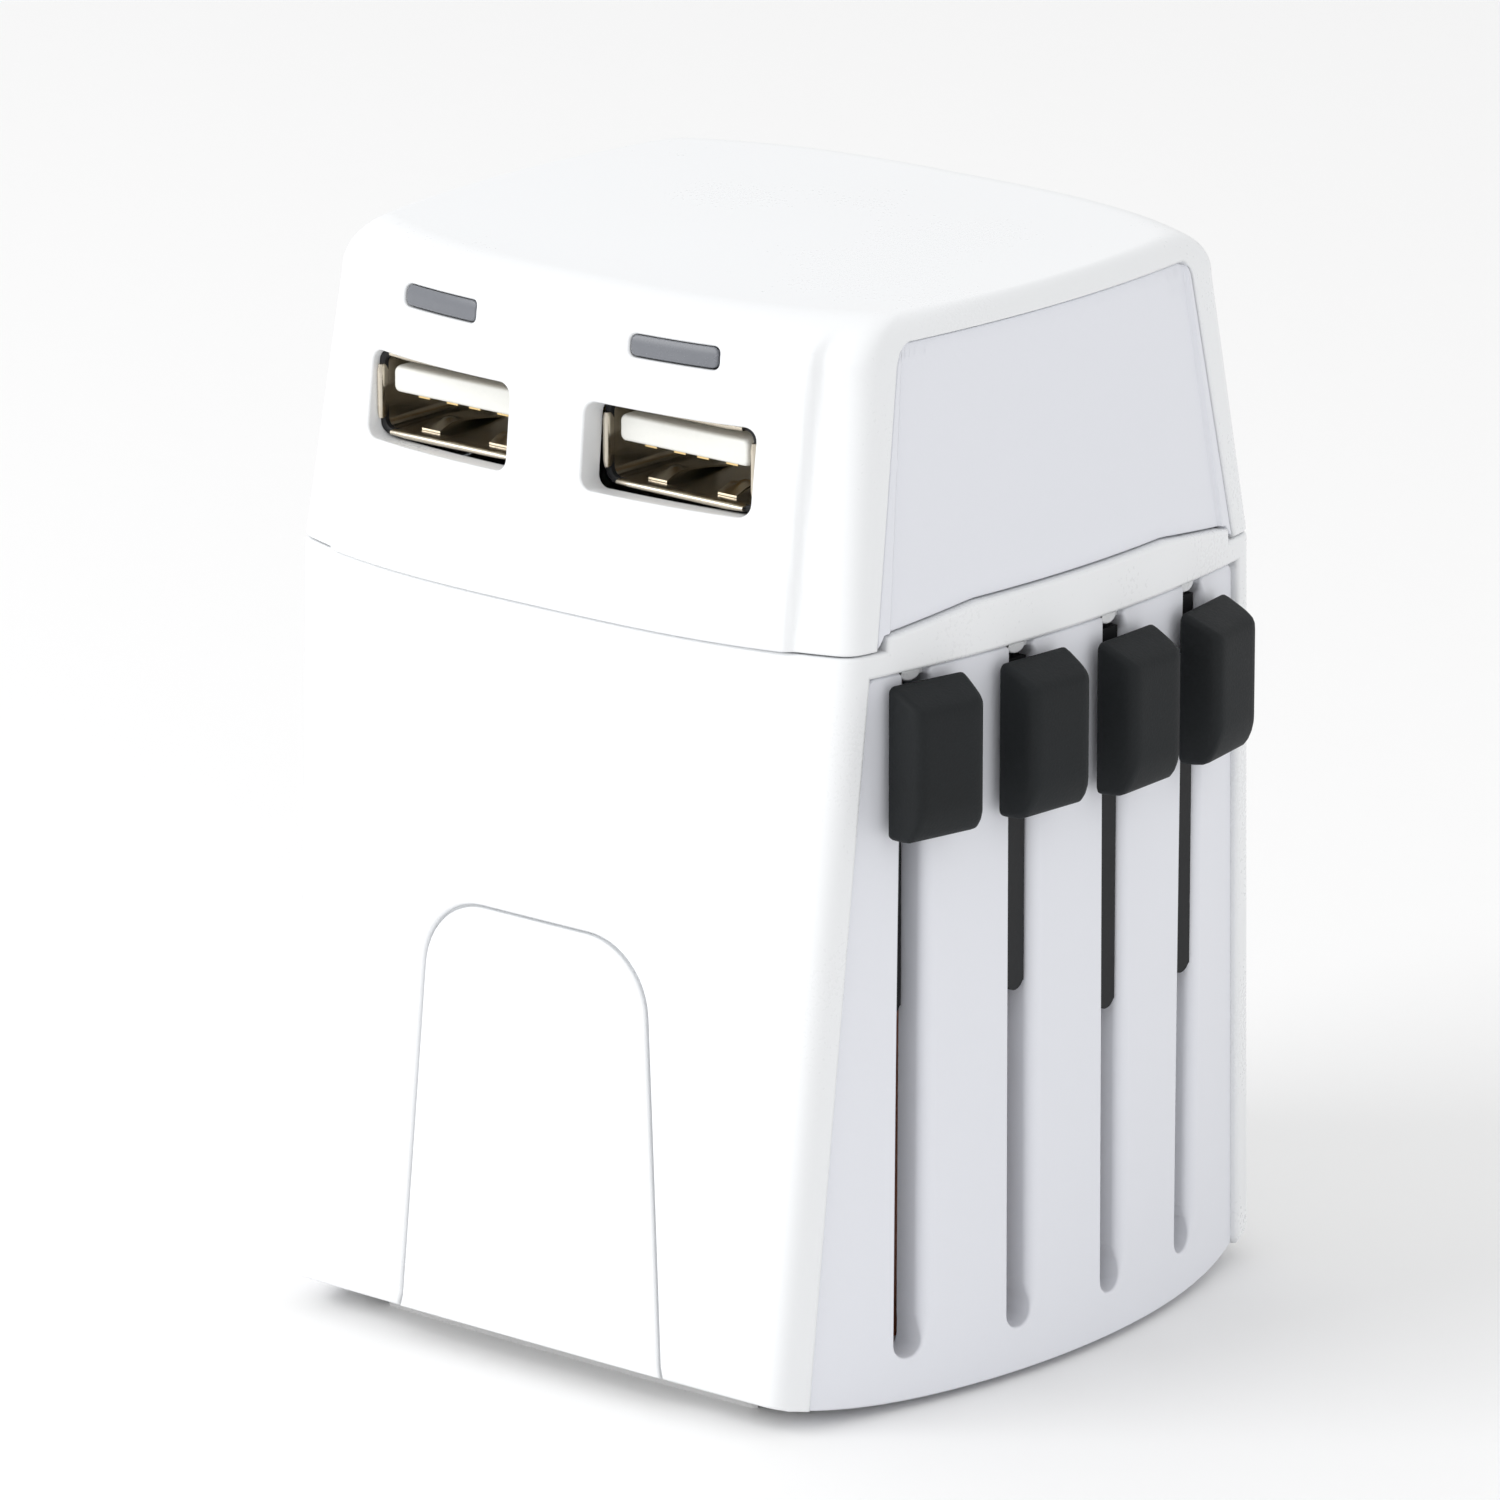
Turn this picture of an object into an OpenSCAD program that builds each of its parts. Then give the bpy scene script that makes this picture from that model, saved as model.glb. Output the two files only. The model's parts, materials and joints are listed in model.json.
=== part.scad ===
// Universal travel adapter: a white housing with four sliding plugs for
// different countries, and a USB charger module that lifts off its top socket.
// Millimetres. +Z up, +X towards the sliders, -Y towards the USB ports.
// The origin is the centre of the flat foot that the adapter stands on.

/* [Housing] */
// Height of the foot that stands below the housing's edge
foot_h = 1.2; // [0.8:0.1:2]
// Height of the seam between the plug housing and the USB module
seam_z = 53.1; // [52.8:0.1:53.5]
// Height of the whole adapter with the module fitted
total_h = 75; // [74.6:0.1:76]
// Wall thickness of the plug housing
wall = 1.9; // [1.6:0.1:2.2]
// Wall thickness of the USB module's cap
cap_wall = 2.1; // [2:0.1:2.4]
// Gap between housing and module at the seam
seam_gap = 0.3; // [0.2:0.1:0.5]
// Half width over the middle of the side faces at the bottom
side_low = 26.7; // [26:0.1:28]
// Half width over the middle of the side faces at the seam
side_seam = 26.4; // [26:0.1:27]
// Half width over the middle of the side faces where the top starts to round
side_high = 24.7; // [24:0.1:26]
// How far the side face swells past its corners at the bottom
side_bulge_low = 5.4; // [4:0.1:6]
// How far the side face swells past its corners at the seam
side_bulge_seam = 2.2; // [1.5:0.1:3]
// How far the side face swells past its corners at the top
side_bulge_high = 1.6; // [1:0.1:2.4]
// Half depth over the middle of the front face at the bottom
front_low = 26; // [25.6:0.1:26.4]
// Half depth over the middle of the front face at the seam
front_seam = 24.5; // [24:0.1:25]
// Half depth over the middle of the front face where the top starts to round
front_high = 22.7; // [22:0.1:24]
// How far the front face swells past its corners at the bottom
front_bulge_low = 0.3; // [0.1:0.1:2]
// How far the front face swells past its corners at the seam
front_bulge_seam = 3.4; // [2:0.1:4]
// How far the front face swells past its corners at the top
front_bulge_high = 4.4; // [3:0.1:5]
// Width of the flat band across each vertical corner
corner_band = 1.1; // [0.8:0.1:2]
// Height of the cap's rounded top edge
top_round = 3.2; // [2.8:0.1:3.6]
// How far the rounded top edge reaches in from the side faces
side_round = 1.4; // [1.2:0.1:2]
// How far the rounded top edge reaches in from the front face
front_round = 4.2; // [3:0.1:5]

/* [Sliders] */
// Distance between neighbouring slider slots
slot_pitch = 9.65; // [9.6:0.05:9.75]
// Place of the first slot along the side, from the middle
first_slot_y = -15.2; // [-15.3:0.1:-15.1]
// Width of each slot
slot_w = 2.2; // [2.2:0.1:2.4]
// Travel of the British and European plugs from stowed to fully out
travel = 23.5; // [23:0.5:24]
// How much shorter the American and Australian plugs travel
short_by = 3.6; // [3:0.1:3.8]
// Height of each button
button_h = 10.5; // [10:0.1:11]
// Width of each button
button_w = 6.4; // [6:0.1:6.8]
// How far each button stands out of the panel
button_out = 2.9; // [2.6:0.1:3.2]

/* [Plugs] */
// Length of the British line and neutral pins
uk_length = 17.7; // [17:0.1:18]
// Length of the British earth pin
uk_earth_length = 22.7; // [22:0.1:22.8]
// Length of the European pins
eu_length = 19; // [18:0.1:19.5]
// Length of the American blades
us_length = 17.5; // [16:0.1:18.3]
// Length of the Australian blades
au_length = 17.1; // [16:0.1:18]

/* [USB module] */
// Distance of each USB port from the middle
usb_x = 10; // [9:0.1:10.5]
// Height of the USB ports' centre line
usb_z = 64.6; // [64.2:0.1:65]

/* [Hidden] */

thin = 0.01;
far = 40;
arc_steps = 5;
gap = 0.1;
shell_z = foot_h;
cap_z = seam_z + seam_gap;
crown = 0.3;
round_z = total_h - top_round - crown;

// Plan of the body at height z: half width, its swell, half depth, its swell.
function mix(a, b, t) = a + (b - a) * t;
function plan(z) =
    z <= seam_z
    ? let (t = (z - shell_z) / (seam_z - shell_z)) [
        mix(side_low, side_seam, t), mix(side_bulge_low, side_bulge_seam, t),
        mix(front_low, front_seam, t), mix(front_bulge_low, front_bulge_seam, t)]
    : let (t = (z - seam_z) / (round_z - seam_z)) [
        mix(side_seam, side_high, t), mix(side_bulge_seam, side_bulge_high, t),
        mix(front_seam, front_high, t), mix(front_bulge_seam, front_bulge_high, t)];

// Outline of the body at height z, set in from the outer faces: by inset all
// round, and by side_in and front_in more on the side and front faces.
function outline(z, inset, side_in = 0, front_in = 0) =
    let (p = plan(z), hw = p[0] - inset - side_in, hd = p[2] - inset - front_in)
    let (cx = hw - p[1], cy = hd - p[3])
    let (sx = cx - corner_band, sy = cy - corner_band)
    let (steps = [for (i = [-arc_steps:arc_steps]) i / arc_steps])
    concat(
        [for (t = steps) [hw - p[1] * pow(t * sy / cy, 2), t * sy]],
        [for (t = steps) [-t * sx, hd - p[3] * pow(abs(t) * sx / cx, 3)]],
        [for (t = steps) [-hw + p[1] * pow(t * sy / cy, 2), -t * sy]],
        [for (t = steps) [t * sx, -hd + p[3] * pow(abs(t) * sx / cx, 3)]]);

// Outer face of the side at depth y and height z.
function side_x(y, z) =
    let (p = plan(z)) p[0] - p[1] * pow(y / (p[2] - p[3]), 2);

// Outer face of the front at x and height z.
function front_y(x, z) =
    let (p = plan(z)) -p[2] + p[3] * pow(abs(x) / (p[0] - p[1]), 3);

module slice(z, inset, side_in = 0, front_in = 0) {
    translate([0, 0, z]) linear_extrude(thin) polygon(outline(z, inset, side_in, front_in));
}

module block(x0, x1, y0, y1, z0, z1) {
    translate([x0, y0, z0]) cube([x1 - x0, y1 - y0, z1 - z0]);
}

// Solid form of the plug housing, set in by inset, with a broken bottom edge.
edge_break = 0.6;
module lower_form(inset, z0, z1, edge) {
    hull() {
        slice(z0, inset + edge);
        slice(z0 + edge, inset);
        slice(z1 - thin, inset);
    }
}

// Solid form of the module's cap with its rounded, slightly crowned top.
crown_in = 11;
module cap_form(inset, z0) {
    hull() {
        slice(z0, inset);
        slice(round_z - inset, inset);
        for (a = [30, 60, 90])
            translate([0, 0, top_round * sin(a) - inset])
                slice(round_z, inset, side_round * (1 - cos(a)), front_round * (1 - cos(a)));
        translate([0, 0, total_h - round_z - inset - thin])
            slice(round_z, inset + crown_in);
    }
}

// Height of the housing's bottom edge, which rises towards the front and rear.
edge_low = 0.5;
edge_rise = 1.6;
edge_steps = 12;
function edge_z(y) = edge_low + edge_rise * pow(abs(y) / front_low, 5);

module above_edge() {
    translate([-far, 0, 0])
        rotate([90, 0, 90])
            linear_extrude(2 * far)
                polygon(concat(
                    [[-far, far + seam_z], [-far, edge_z(front_low)]],
                    [for (i = [-edge_steps:edge_steps]) let (y = i / edge_steps * front_low) [y, edge_z(y)]],
                    [[far, edge_z(front_low)], [far, far + seam_z]]));
}

// A prism along X whose outline in Y and Z is a trapezoid.
module side_prism(low_w, high_w, z0, z1, x0, x1) {
    translate([x0, 0, 0])
        rotate([90, 0, 90])
            linear_extrude(x1 - x0)
                polygon([[-low_w, z0], [low_w, z0], [high_w, z1], [-high_w, z1]]);
}

// ---- side panels of the plug housing ----
panel_inset = 0.4;
panel_top = 51.3;
panel_low_w = 22.9;
panel_high_w = 19.3;

module side_panel_blank() {
    intersection() {
        difference() {
            lower_form(panel_inset, edge_low, panel_top + 1, edge_break);
            lower_form(wall, edge_low - 1, panel_top + 2, 0);
        }
        side_prism(panel_low_w, panel_high_w, edge_low, panel_top, wall, far);
        above_edge();
    }
}

function slot_y(i) = first_slot_y + i * slot_pitch;
slot_bottom = 3.7;
bar_low = 4.2;
bar_z = bar_low + travel;
strip_z = slot_bottom + travel;
bar_h = 5;

// For each slider: how much lower it is stowed, how much deeper its strip
// lies, and the height of its button's top.
drops = [0, 0, short_by, short_by];
strip_in = [1.2, 0, 0, 0];
button_tops = [50.8, 50.55, 50, 49.8];

module slots() {
    for (i = [0:3])
        translate([wall, slot_y(i), 0]) {
            block(0, far, -slot_w / 2, slot_w / 2, slot_bottom + slot_w / 2, panel_top + 1);
            translate([0, 0, slot_bottom + slot_w / 2])
                rotate([0, 90, 0]) cylinder(d = slot_w, h = far, $fn = 32);
        }
}

// Guide ribs behind the panel, on the rear side of each slot.
rib_w = 0.9;
rib_in = 1.2;

module slot_ribs() {
    intersection() {
        difference() {
            lower_form(wall - 2 * gap, shell_z, panel_top, 0);
            lower_form(wall + rib_in, edge_low, panel_top + 1, 0);
        }
        for (i = [0:3])
            translate([wall, slot_y(i) + slot_w / 2, bar_low]) cube([far, rib_w, panel_top - 1 - bar_low]);
    }
}

module slider_panel() {
    color([0.9, 0.91, 0.94]) difference() {
        union() {
            side_panel_blank();
            slot_ribs();
        }
        slots();
    }
}

module left_panel() {
    color([0.9, 0.91, 0.94]) mirror([1, 0, 0]) side_panel_blank();
}

// ---- arch-shaped covers on the front and back ----
arch_low_w = 11.6;
arch_high_w = 9.7;
arch_top = 31.5;
arch_round = 4;
arch_depth = 0.9;
arch_gap = 0.25;

module arch_profile(grow) {
    polygon([
        [-arch_low_w - grow, 0], [arch_low_w + grow, 0],
        [arch_high_w + grow, arch_top - arch_round],
        [-arch_high_w - grow, arch_top - arch_round]]);
    for (s = [-1, 1])
        translate([s * (arch_high_w - arch_round), arch_top - arch_round])
            circle(r = arch_round + grow, $fn = 48);
    translate([-arch_high_w + arch_round, arch_top - arch_round - 1])
        square([2 * (arch_high_w - arch_round), arch_round + 1 + grow]);
}

module arch_prism(grow) {
    rotate([90, 0, 0])
        translate([0, 0, 15])
            linear_extrude(20) arch_profile(grow);
}

module front_arch_cover() {
    color([0.97, 0.97, 0.98]) intersection() {
        difference() {
            lower_form(0, edge_low, seam_z, edge_break);
            lower_form(arch_depth, edge_low - 1, seam_z + 1, 0);
        }
        arch_prism(0);
        above_edge();
    }
}

module rear_arch_cover() {
    mirror([0, 1, 0]) front_arch_cover();
}

// ---- plug housing ----
post_r = 2.2;
post_top = 22;
post_bore = 0.9;
rib_t = 1.4;
rib_reach = 23.4;
rear_post = [17.4, 18.9];
front_post = [17.4, 19.6];
post_places = [
    [rear_post[0], rear_post[1]], [-rear_post[0], rear_post[1]],
    [front_post[0], -front_post[1]], [-front_post[0], -front_post[1]]];
plate_top = 3.2;

// The rim rises above the seam under each side panel of the module.
rim_w = 18.1;
rim_flat = 10;
rim_low = 54;
rim_top = 55;
rim_x = 15;
panel_cut_x = 17;

module rim_prism(grow) {
    for (s = [0, 1])
        mirror([s, 0, 0])
            translate([rim_x, 0, 0]) rotate([90, 0, 90]) linear_extrude(far)
                polygon([
                    [-rim_w - grow, seam_z - 1], [rim_w + grow, seam_z - 1], [rim_w + grow, rim_low + grow],
                    [rim_flat, rim_top + grow], [-rim_flat, rim_top + grow],
                    [-rim_w - grow, rim_low + grow]]);
}

module lower_shell() {
    color([0.98, 0.98, 0.99]) difference() {
        union() {
            intersection() {
                difference() {
                    lower_form(0, edge_low, rim_top, edge_break);
                    lower_form(wall, edge_low - 1, rim_top + 1, 0);
                }
                union() {
                    block(-far, far, -far, far, 0, seam_z);
                    rim_prism(0);
                }
                above_edge();
            }
            for (p = post_places)
                translate([p[0], p[1], plate_top]) {
                    cylinder(r = post_r, h = post_top - plate_top, $fn = 32);
                    block(-rib_t / 2, rib_t / 2, min(0, sign(p[1]) * rib_reach - p[1]),
                        max(0, sign(p[1]) * rib_reach - p[1]), 0, post_top - plate_top);
                }
        }
        for (p = post_places)
            translate([p[0], p[1], plate_top - 1]) cylinder(r = post_bore, h = 12, $fn = 24);
        for (s = [0, 1])
            mirror([s, 0, 0]) {
                side_prism(panel_low_w + gap, panel_high_w + gap, edge_low - 1, panel_top + gap,
                    panel_cut_x, far);
            }
        for (s = [0, 1])
            mirror([0, s, 0]) {
                intersection() {
                    difference() {
                        lower_form(-1, edge_low - 2, seam_z, 0);
                        lower_form(arch_depth + gap, edge_low - 3, seam_z + 1, 0);
                    }
                    arch_prism(arch_gap);
                }
            }
    }
}

// ---- pin sections, shared by the pins and by the holes they pass through ----
uk_y = -16.3;
uk_x = 11.11;
uk_earth_y = uk_y + 22.23;
eu_y = -10.2;
eu_x = 9.5;
us_y = -3.2;
us_x = 6.35;
au_y = 15.2;
au_x = 6.93;
au_tilt = 30;

module uk_section(grow) {
    for (s = [-1, 1])
        translate([s * uk_x, uk_y]) square([6.35 + 2 * grow, 3.97 + 2 * grow], center = true);
}

module uk_earth_section(grow) {
    translate([0, uk_earth_y]) square([3.97 + 2 * grow, 7.92 + 2 * grow], center = true);
}

module eu_section(grow) {
    for (s = [-1, 1])
        translate([s * eu_x, eu_y]) circle(r = 2 + grow, $fn = 40);
}

module us_section(grow) {
    for (s = [-1, 1])
        translate([s * us_x, us_y]) square([1.5 + 2 * grow, 6.35 + 2 * grow], center = true);
}

module au_section(grow) {
    for (s = [-1, 1])
        translate([s * au_x, au_y]) rotate(s * au_tilt)
            square([1.6 + 2 * grow, 6.3 + 2 * grow], center = true);
}

module all_sections(grow) {
    uk_section(grow);
    uk_earth_section(grow);
    eu_section(grow);
    us_section(grow);
    au_section(grow);
}

// ---- base plate ----
foot_inset = 3.4;
head_r = 1.9;
head_h = 1.3;
shank_r = 0.85;
screw_len = 9;

module base_plate() {
    color([0.95, 0.95, 0.96]) difference() {
        union() {
            translate([0, 0, shell_z]) linear_extrude(plate_top - shell_z - gap)
                polygon(outline(shell_z, wall + 0.2));
            linear_extrude(shell_z) polygon(outline(shell_z, foot_inset + 0.6));
        }
        translate([0, 0, -1]) linear_extrude(plate_top + 2) all_sections(0.35);
        for (p = post_places)
            translate([p[0], p[1], -1]) {
                cylinder(r = shank_r + 0.15, h = plate_top + 2, $fn = 24);
                cylinder(r = head_r + 0.2, h = shell_z + head_h + 0.8, $fn = 32);
            }
        for (r = rod_places)
            translate([r[0], r[1], plate_top - gap - 1.2]) cylinder(r = rod_r + thin, h = 2, $fn = 24);
    }
}

module body_screws() {
    color([0.7, 0.71, 0.73]) for (p = post_places)
        translate([p[0], p[1], shell_z - 0.2]) {
            difference() {
                cylinder(r = head_r, h = head_h - 0.2, $fn = 32);
                translate([0, 0, -1]) cylinder(d = 2, h = 1.6, $fn = 6);
            }
            translate([0, 0, head_h - 0.3]) cylinder(r = shank_r, h = screw_len, $fn = 24);
        }
}

// ---- guide rods that the carriages run on ----
rod_r = 1;
rod_places = [[0, uk_y], [0, eu_y], [0, us_y], [-10, uk_earth_y], [0, au_y]];
socket_z = 33.9;
rod_fit = 0.05;

module guide_rods() {
    color([0.75, 0.76, 0.78]) for (r = rod_places)
        translate([r[0], r[1], plate_top - gap - 1.2])
            cylinder(r = rod_r, h = socket_z + 1 - plate_top + gap + 1.2, $fn = 24);
}

// ---- socket under the module ----
socket_y = 8;
socket_top = 50.7;
face_z = 50.9;
face_top = 52.8;
pocket_x0 = 1.6;
pocket_x1 = 16.8;
pocket_y0 = -10.6;
pocket_y1 = 12.2;
pocket_z = 35.1;
earth_y = socket_y - 22.23;
fuse_y = 16.2;
fuse_z = 44;
fuse_r = 2.6;

module socket_holes() {
    for (s = [-1, 1]) {
        translate([s * uk_x, socket_y]) square([6.9, 4.6], center = true);
        translate([s * us_x, socket_y]) square([2.1, 7], center = true);
        translate([s * eu_x, socket_y]) circle(r = 2.6, $fn = 40);
    }
}

module socket_earth_hole() {
    translate([0, earth_y]) square([4.6, 7], center = true);
}

module socket_face() {
    color([0.93, 0.93, 0.95]) difference() {
        translate([0, 0, face_z]) linear_extrude(face_top - face_z)
            polygon(outline(seam_z, wall + 0.35));
        translate([0, 0, face_z - 1]) linear_extrude(5) {
            socket_holes();
            socket_earth_hole();
        }
    }
}

module socket_block() {
    color([0.16, 0.16, 0.18]) difference() {
        block(-18.6, 18.6, -18, 19.4, socket_z, socket_top);
        for (s = [0, 1])
            mirror([s, 0, 0])
                block(pocket_x0, pocket_x1, pocket_y0, pocket_y1, pocket_z, socket_top + 1);
        block(-2.5, 2.5, earth_y - 3.4, -11.6, pocket_z, socket_top + 1);
        block(-12.6, 12.6, fuse_y - fuse_r - 0.3, fuse_y + fuse_r + 0.3,
            fuse_z - fuse_r - 0.6, socket_top + 1);
        block(pocket_x1 - 1, 19, -13.6, -9.6, pocket_z, pocket_z + 1);
        block(pocket_x1 - 3, pocket_x1, -13.6, -9.6, pocket_z, pocket_z + 1);
        block(-16.4, -14.6, -8.2, -3.2, socket_z - 1, pocket_z + 1);
        for (r = rod_places)
            translate([r[0], r[1], socket_z - 1]) cylinder(r = rod_r + thin, h = 2, $fn = 24);
    }
}

// Folded contact: a strap on the pocket floor with sprung leaves round each pin.
leaf_t = 0.5;
leaf_top = 48.5;
strap_z = pocket_z + gap;
strap_t = 0.6;

module contact_leaves() {
    for (x = [us_x - 1.7, us_x + 1.2, uk_x + 3.6])
        block(x, x + leaf_t, socket_y - 3, socket_y + 3, strap_z, leaf_top);
}

module live_socket_contact() {
    color([0.8, 0.6, 0.35]) {
        union() {
            block(4, 15.8, -9, 11.4, strap_z, strap_z + strap_t);
            block(13.8, 15.8, -12.8, -8, strap_z, strap_z + strap_t);
            block(13.8, 18.9, -12.8, -10.4, strap_z, strap_z + strap_t);
            contact_leaves();
        }
    }
}

module neutral_socket_contact() {
    color([0.8, 0.6, 0.35]) mirror([1, 0, 0]) {
        union() {
            block(4, 15.25, -9, 11.4, strap_z, strap_z + strap_t);
            contact_leaves();
        }
    }
}

module round_places(places, r) {
    for (p = places)
        translate([p[0], p[1]]) circle(r = r, $fn = 32);
}

// ---- copper rails: a plate under the carriages and a leg up to the socket ----
rail_z = plate_top - gap;
rail_t = 0.6;
rail_grow = 0.5;

module rail_plate() {
    difference() {
        block(3.4, 15.8, -19.2, 19, rail_z, rail_z + rail_t);
        translate([0, 0, rail_z - 1]) linear_extrude(3) {
            all_sections(rail_grow);
            mirror([1, 0]) round_places(rod_places, rod_r + 0.2);
            round_places(post_places, post_r + 0.2);
        }
    }
}

module live_rail() {
    color([0.72, 0.4, 0.25]) union() {
        rail_plate();
        block(15, 19.8, -13.8, -9.2, rail_z, rail_z + rail_t);
        block(19, 19.8, -13.8, -9.2, rail_z, 40);
    }
}

module neutral_rail() {
    color([0.72, 0.4, 0.25]) union() {
        mirror([1, 0, 0]) rail_plate();
        block(-16.1, -15, -8, -3.4, rail_z, rail_z + rail_t);
        block(-16.1, -15.3, -8, -3.4, rail_z, pocket_z + 0.7);
    }
}

// ---- fuse ----
module fuse() {
    color([0.85, 0.85, 0.82]) translate([-10, fuse_y, fuse_z]) rotate([0, 90, 0]) {
        cylinder(r = fuse_r - 0.2, h = 20, $fn = 40);
    }
}

module fuse_clips() {
    color([0.8, 0.6, 0.35]) for (s = [-1, 1])
        difference() {
            block(s * 10.6 - 1.6, s * 10.6 + 1.6, fuse_y - fuse_r, fuse_y + fuse_r,
                fuse_z - fuse_r - 0.5, fuse_z + 1.2);
            translate([-10 - gap, fuse_y, fuse_z]) rotate([0, 90, 0])
                cylinder(r = fuse_r - 0.15, h = 20 + 2 * gap, $fn = 40);
        }
}

// ---- carriages ----
// Each carriage is a bar that holds the pins, an arm to its slot, a strip that
// fills the slot and a stem that carries the button.
strip_w = 1.8;
strip_t = 2.4;
strip_top = 50.2;
stem_in = 0.8;
button_shift = 0.2;
slope_z = 30;
stem_w = 1.6;
stem_ends = [2.4, 2];

strip_under = 0.4;
button_over = 0.6;

// Outer face of slider i's strip, behind the lowest place of the panel's face.
function strip_x(i) =
    min(side_x(slot_y(i), slot_bottom), side_x(slot_y(i), panel_top))
    - panel_inset - strip_under - strip_in[i];

// Back of slider i's button, over the highest place of the panel's face.
function button_x(i) =
    max(side_x(slot_y(i), button_tops[i] - button_h - travel), side_x(slot_y(i), panel_top))
    - panel_inset + button_over;

module carriage_arm(i, x0) {
    sx = strip_x(i);
    y0 = slot_y(i) - strip_w / 2;
    y1 = slot_y(i) + strip_w / 2;
    end_z = strip_z - drops[i] + strip_w / 2;
    block(x0, sx, y0, y1, bar_z - drops[i], bar_z - drops[i] + bar_h);
    block(sx - strip_t, sx, y0, y1, end_z, strip_top);
    translate([sx - strip_t, slot_y(i), end_z])
        rotate([0, 90, 0]) cylinder(d = strip_w, h = strip_t, $fn = 32);
    button_stem(i, 0);
}

// The stem between a strip and the pocket in the back of its button.
module button_stem(i, grow) {
    block(strip_x(i) - strip_t, button_x(i) + stem_in + grow,
        slot_y(i) - stem_w / 2 - grow, slot_y(i) + stem_w / 2 + grow,
        button_tops[i] - button_h + stem_ends[0] - grow, button_tops[i] - stem_ends[1] + grow);
}

module rod_bore(p) {
    cylinder_h = bar_h + short_by + 2;
    translate([p[0], p[1], bar_z - short_by - 1]) cylinder(r = rod_r + rod_fit, h = cylinder_h, $fn = 40);
}

// A bar of carriage i from x0 to x1 and y0 to y1.
module bar(i, x0, x1, y0, y1) {
    block(x0, x1, y0, y1, bar_z - drops[i], bar_z - drops[i] + bar_h);
}

// Cuts its children's outline through the bars at any height.
module bar_cut() {
    translate([0, 0, bar_z - short_by - 1]) linear_extrude(bar_h + short_by + 2) children();
}

// Half depths of the bars round each plug's pins.
uk_bar = 2.7;
earth_bar = 2.5;
eu_bar = 2.7;
us_bar = 3.5;
au_bar = 3.7;
// Outer ends of the British carriage's side bar, which passes the other bars.
pass_x0 = -20.2;
pass_x1 = -16.8;

module uk_carriage() {
    color([0.14, 0.14, 0.15]) difference() {
        union() {
            bar(0, -14.9, 14.9, uk_y - uk_bar, uk_y + uk_bar);
            carriage_arm(0, 14);
            bar(0, pass_x0, -14, uk_y - 0.5, uk_y + uk_bar);
            bar(0, pass_x0, pass_x1, uk_y - 0.5, uk_earth_y + earth_bar);
            bar(0, pass_x0, -2, uk_earth_y - earth_bar, uk_earth_y + earth_bar);
            bar(0, -3, 3, uk_earth_y - 4.6, uk_earth_y + 4.6);
        }
        bar_cut() {
            uk_section(thin);
            uk_earth_section(thin);
        }
        rod_bore(rod_places[0]);
        rod_bore(rod_places[3]);
    }
}

module eu_carriage() {
    color([0.14, 0.14, 0.15]) difference() {
        union() {
            bar(1, -12.4, 16.4, eu_y - eu_bar, eu_y + eu_bar);
            bar(1, 13, 16.4, eu_y - eu_bar, slot_y(1) + 1);
            carriage_arm(1, 16);
        }
        bar_cut() eu_section(thin);
        rod_bore(rod_places[1]);
    }
}

module us_carriage() {
    color([0.14, 0.14, 0.15]) difference() {
        union() {
            bar(2, -8.6, 12.2, us_y - us_bar, us_y + us_bar);
            bar(2, 9, 12.2, us_y - us_bar, slot_y(2) + 1);
            carriage_arm(2, 12);
        }
        bar_cut() us_section(thin);
        rod_bore(rod_places[2]);
    }
}

module au_carriage() {
    color([0.14, 0.14, 0.15]) difference() {
        union() {
            bar(3, -11.4, 13, au_y - au_bar, au_y + au_bar);
            carriage_arm(3, 12);
        }
        bar_cut() au_section(thin);
        rod_bore(rod_places[4]);
    }
}

// ---- buttons: chamfered pads that follow the side panel's slope ----
pad_side = 0.5;
pad_top = [0.3, 1.3];
pad_foot = [1.9, 2.2];

function slope(y) =
    let (p = plan(slope_z)) atan(2 * p[1] * y / pow(p[2] - p[3], 2));

module button(i) {
    y = slot_y(i) + button_shift;
    w = button_w / 2;
    color([0.07, 0.07, 0.08]) difference() {
        translate([button_x(i), y, button_tops[i] - button_h])
            rotate([0, 0, slope(y)])
                intersection() {
                    linear_extrude(button_h)
                        polygon([
                            [0, -w], [button_out, -w + pad_side],
                            [button_out, w - pad_side], [0, w]]);
                    translate([0, w, 0]) rotate([90, 0, 0]) linear_extrude(button_w)
                        polygon([
                            [0, 0], [pad_foot[0], 0], [button_out, pad_foot[1]],
                            [button_out, button_h - pad_top[1]], [pad_top[0], button_h], [0, button_h]]);
                }
        button_stem(i, 2 * thin);
    }
}

module uk_button() { button(0); }
module eu_button() { button(1); }
module us_button() { button(2); }
module au_button() { button(3); }

// ---- pins and blades ----
head_z = bar_z + bar_h + 0.5;

// Straight pins from their heads, above the bar, down to their tips.
module pin_root(length) {
    translate([0, 0, bar_z - bar_low - length])
        linear_extrude(head_z - bar_z + bar_low + length) children();
}

module uk_pins() {
    color([0.85, 0.75, 0.5]) pin_root(uk_length) uk_section(0);
}

module uk_earth_pin() {
    color([0.12, 0.12, 0.13]) pin_root(uk_earth_length) uk_earth_section(0);
}

module eu_pins() {
    tip = 1;
    low = bar_z - bar_low - eu_length;
    color([0.8, 0.8, 0.82]) for (s = [-1, 1])
        translate([s * eu_x, eu_y, low]) {
            cylinder(r1 = 1.2, r2 = 2, h = tip, $fn = 40);
            translate([0, 0, tip]) cylinder(r = 2, h = head_z - low - tip, $fn = 40);
        }
}

module us_blades() {
    color([0.85, 0.75, 0.5]) translate([0, 0, -drops[2]]) pin_root(us_length) us_section(0);
}

module au_blades() {
    color([0.85, 0.75, 0.5]) translate([0, 0, -drops[3]]) pin_root(au_length) au_section(0);
}

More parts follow.
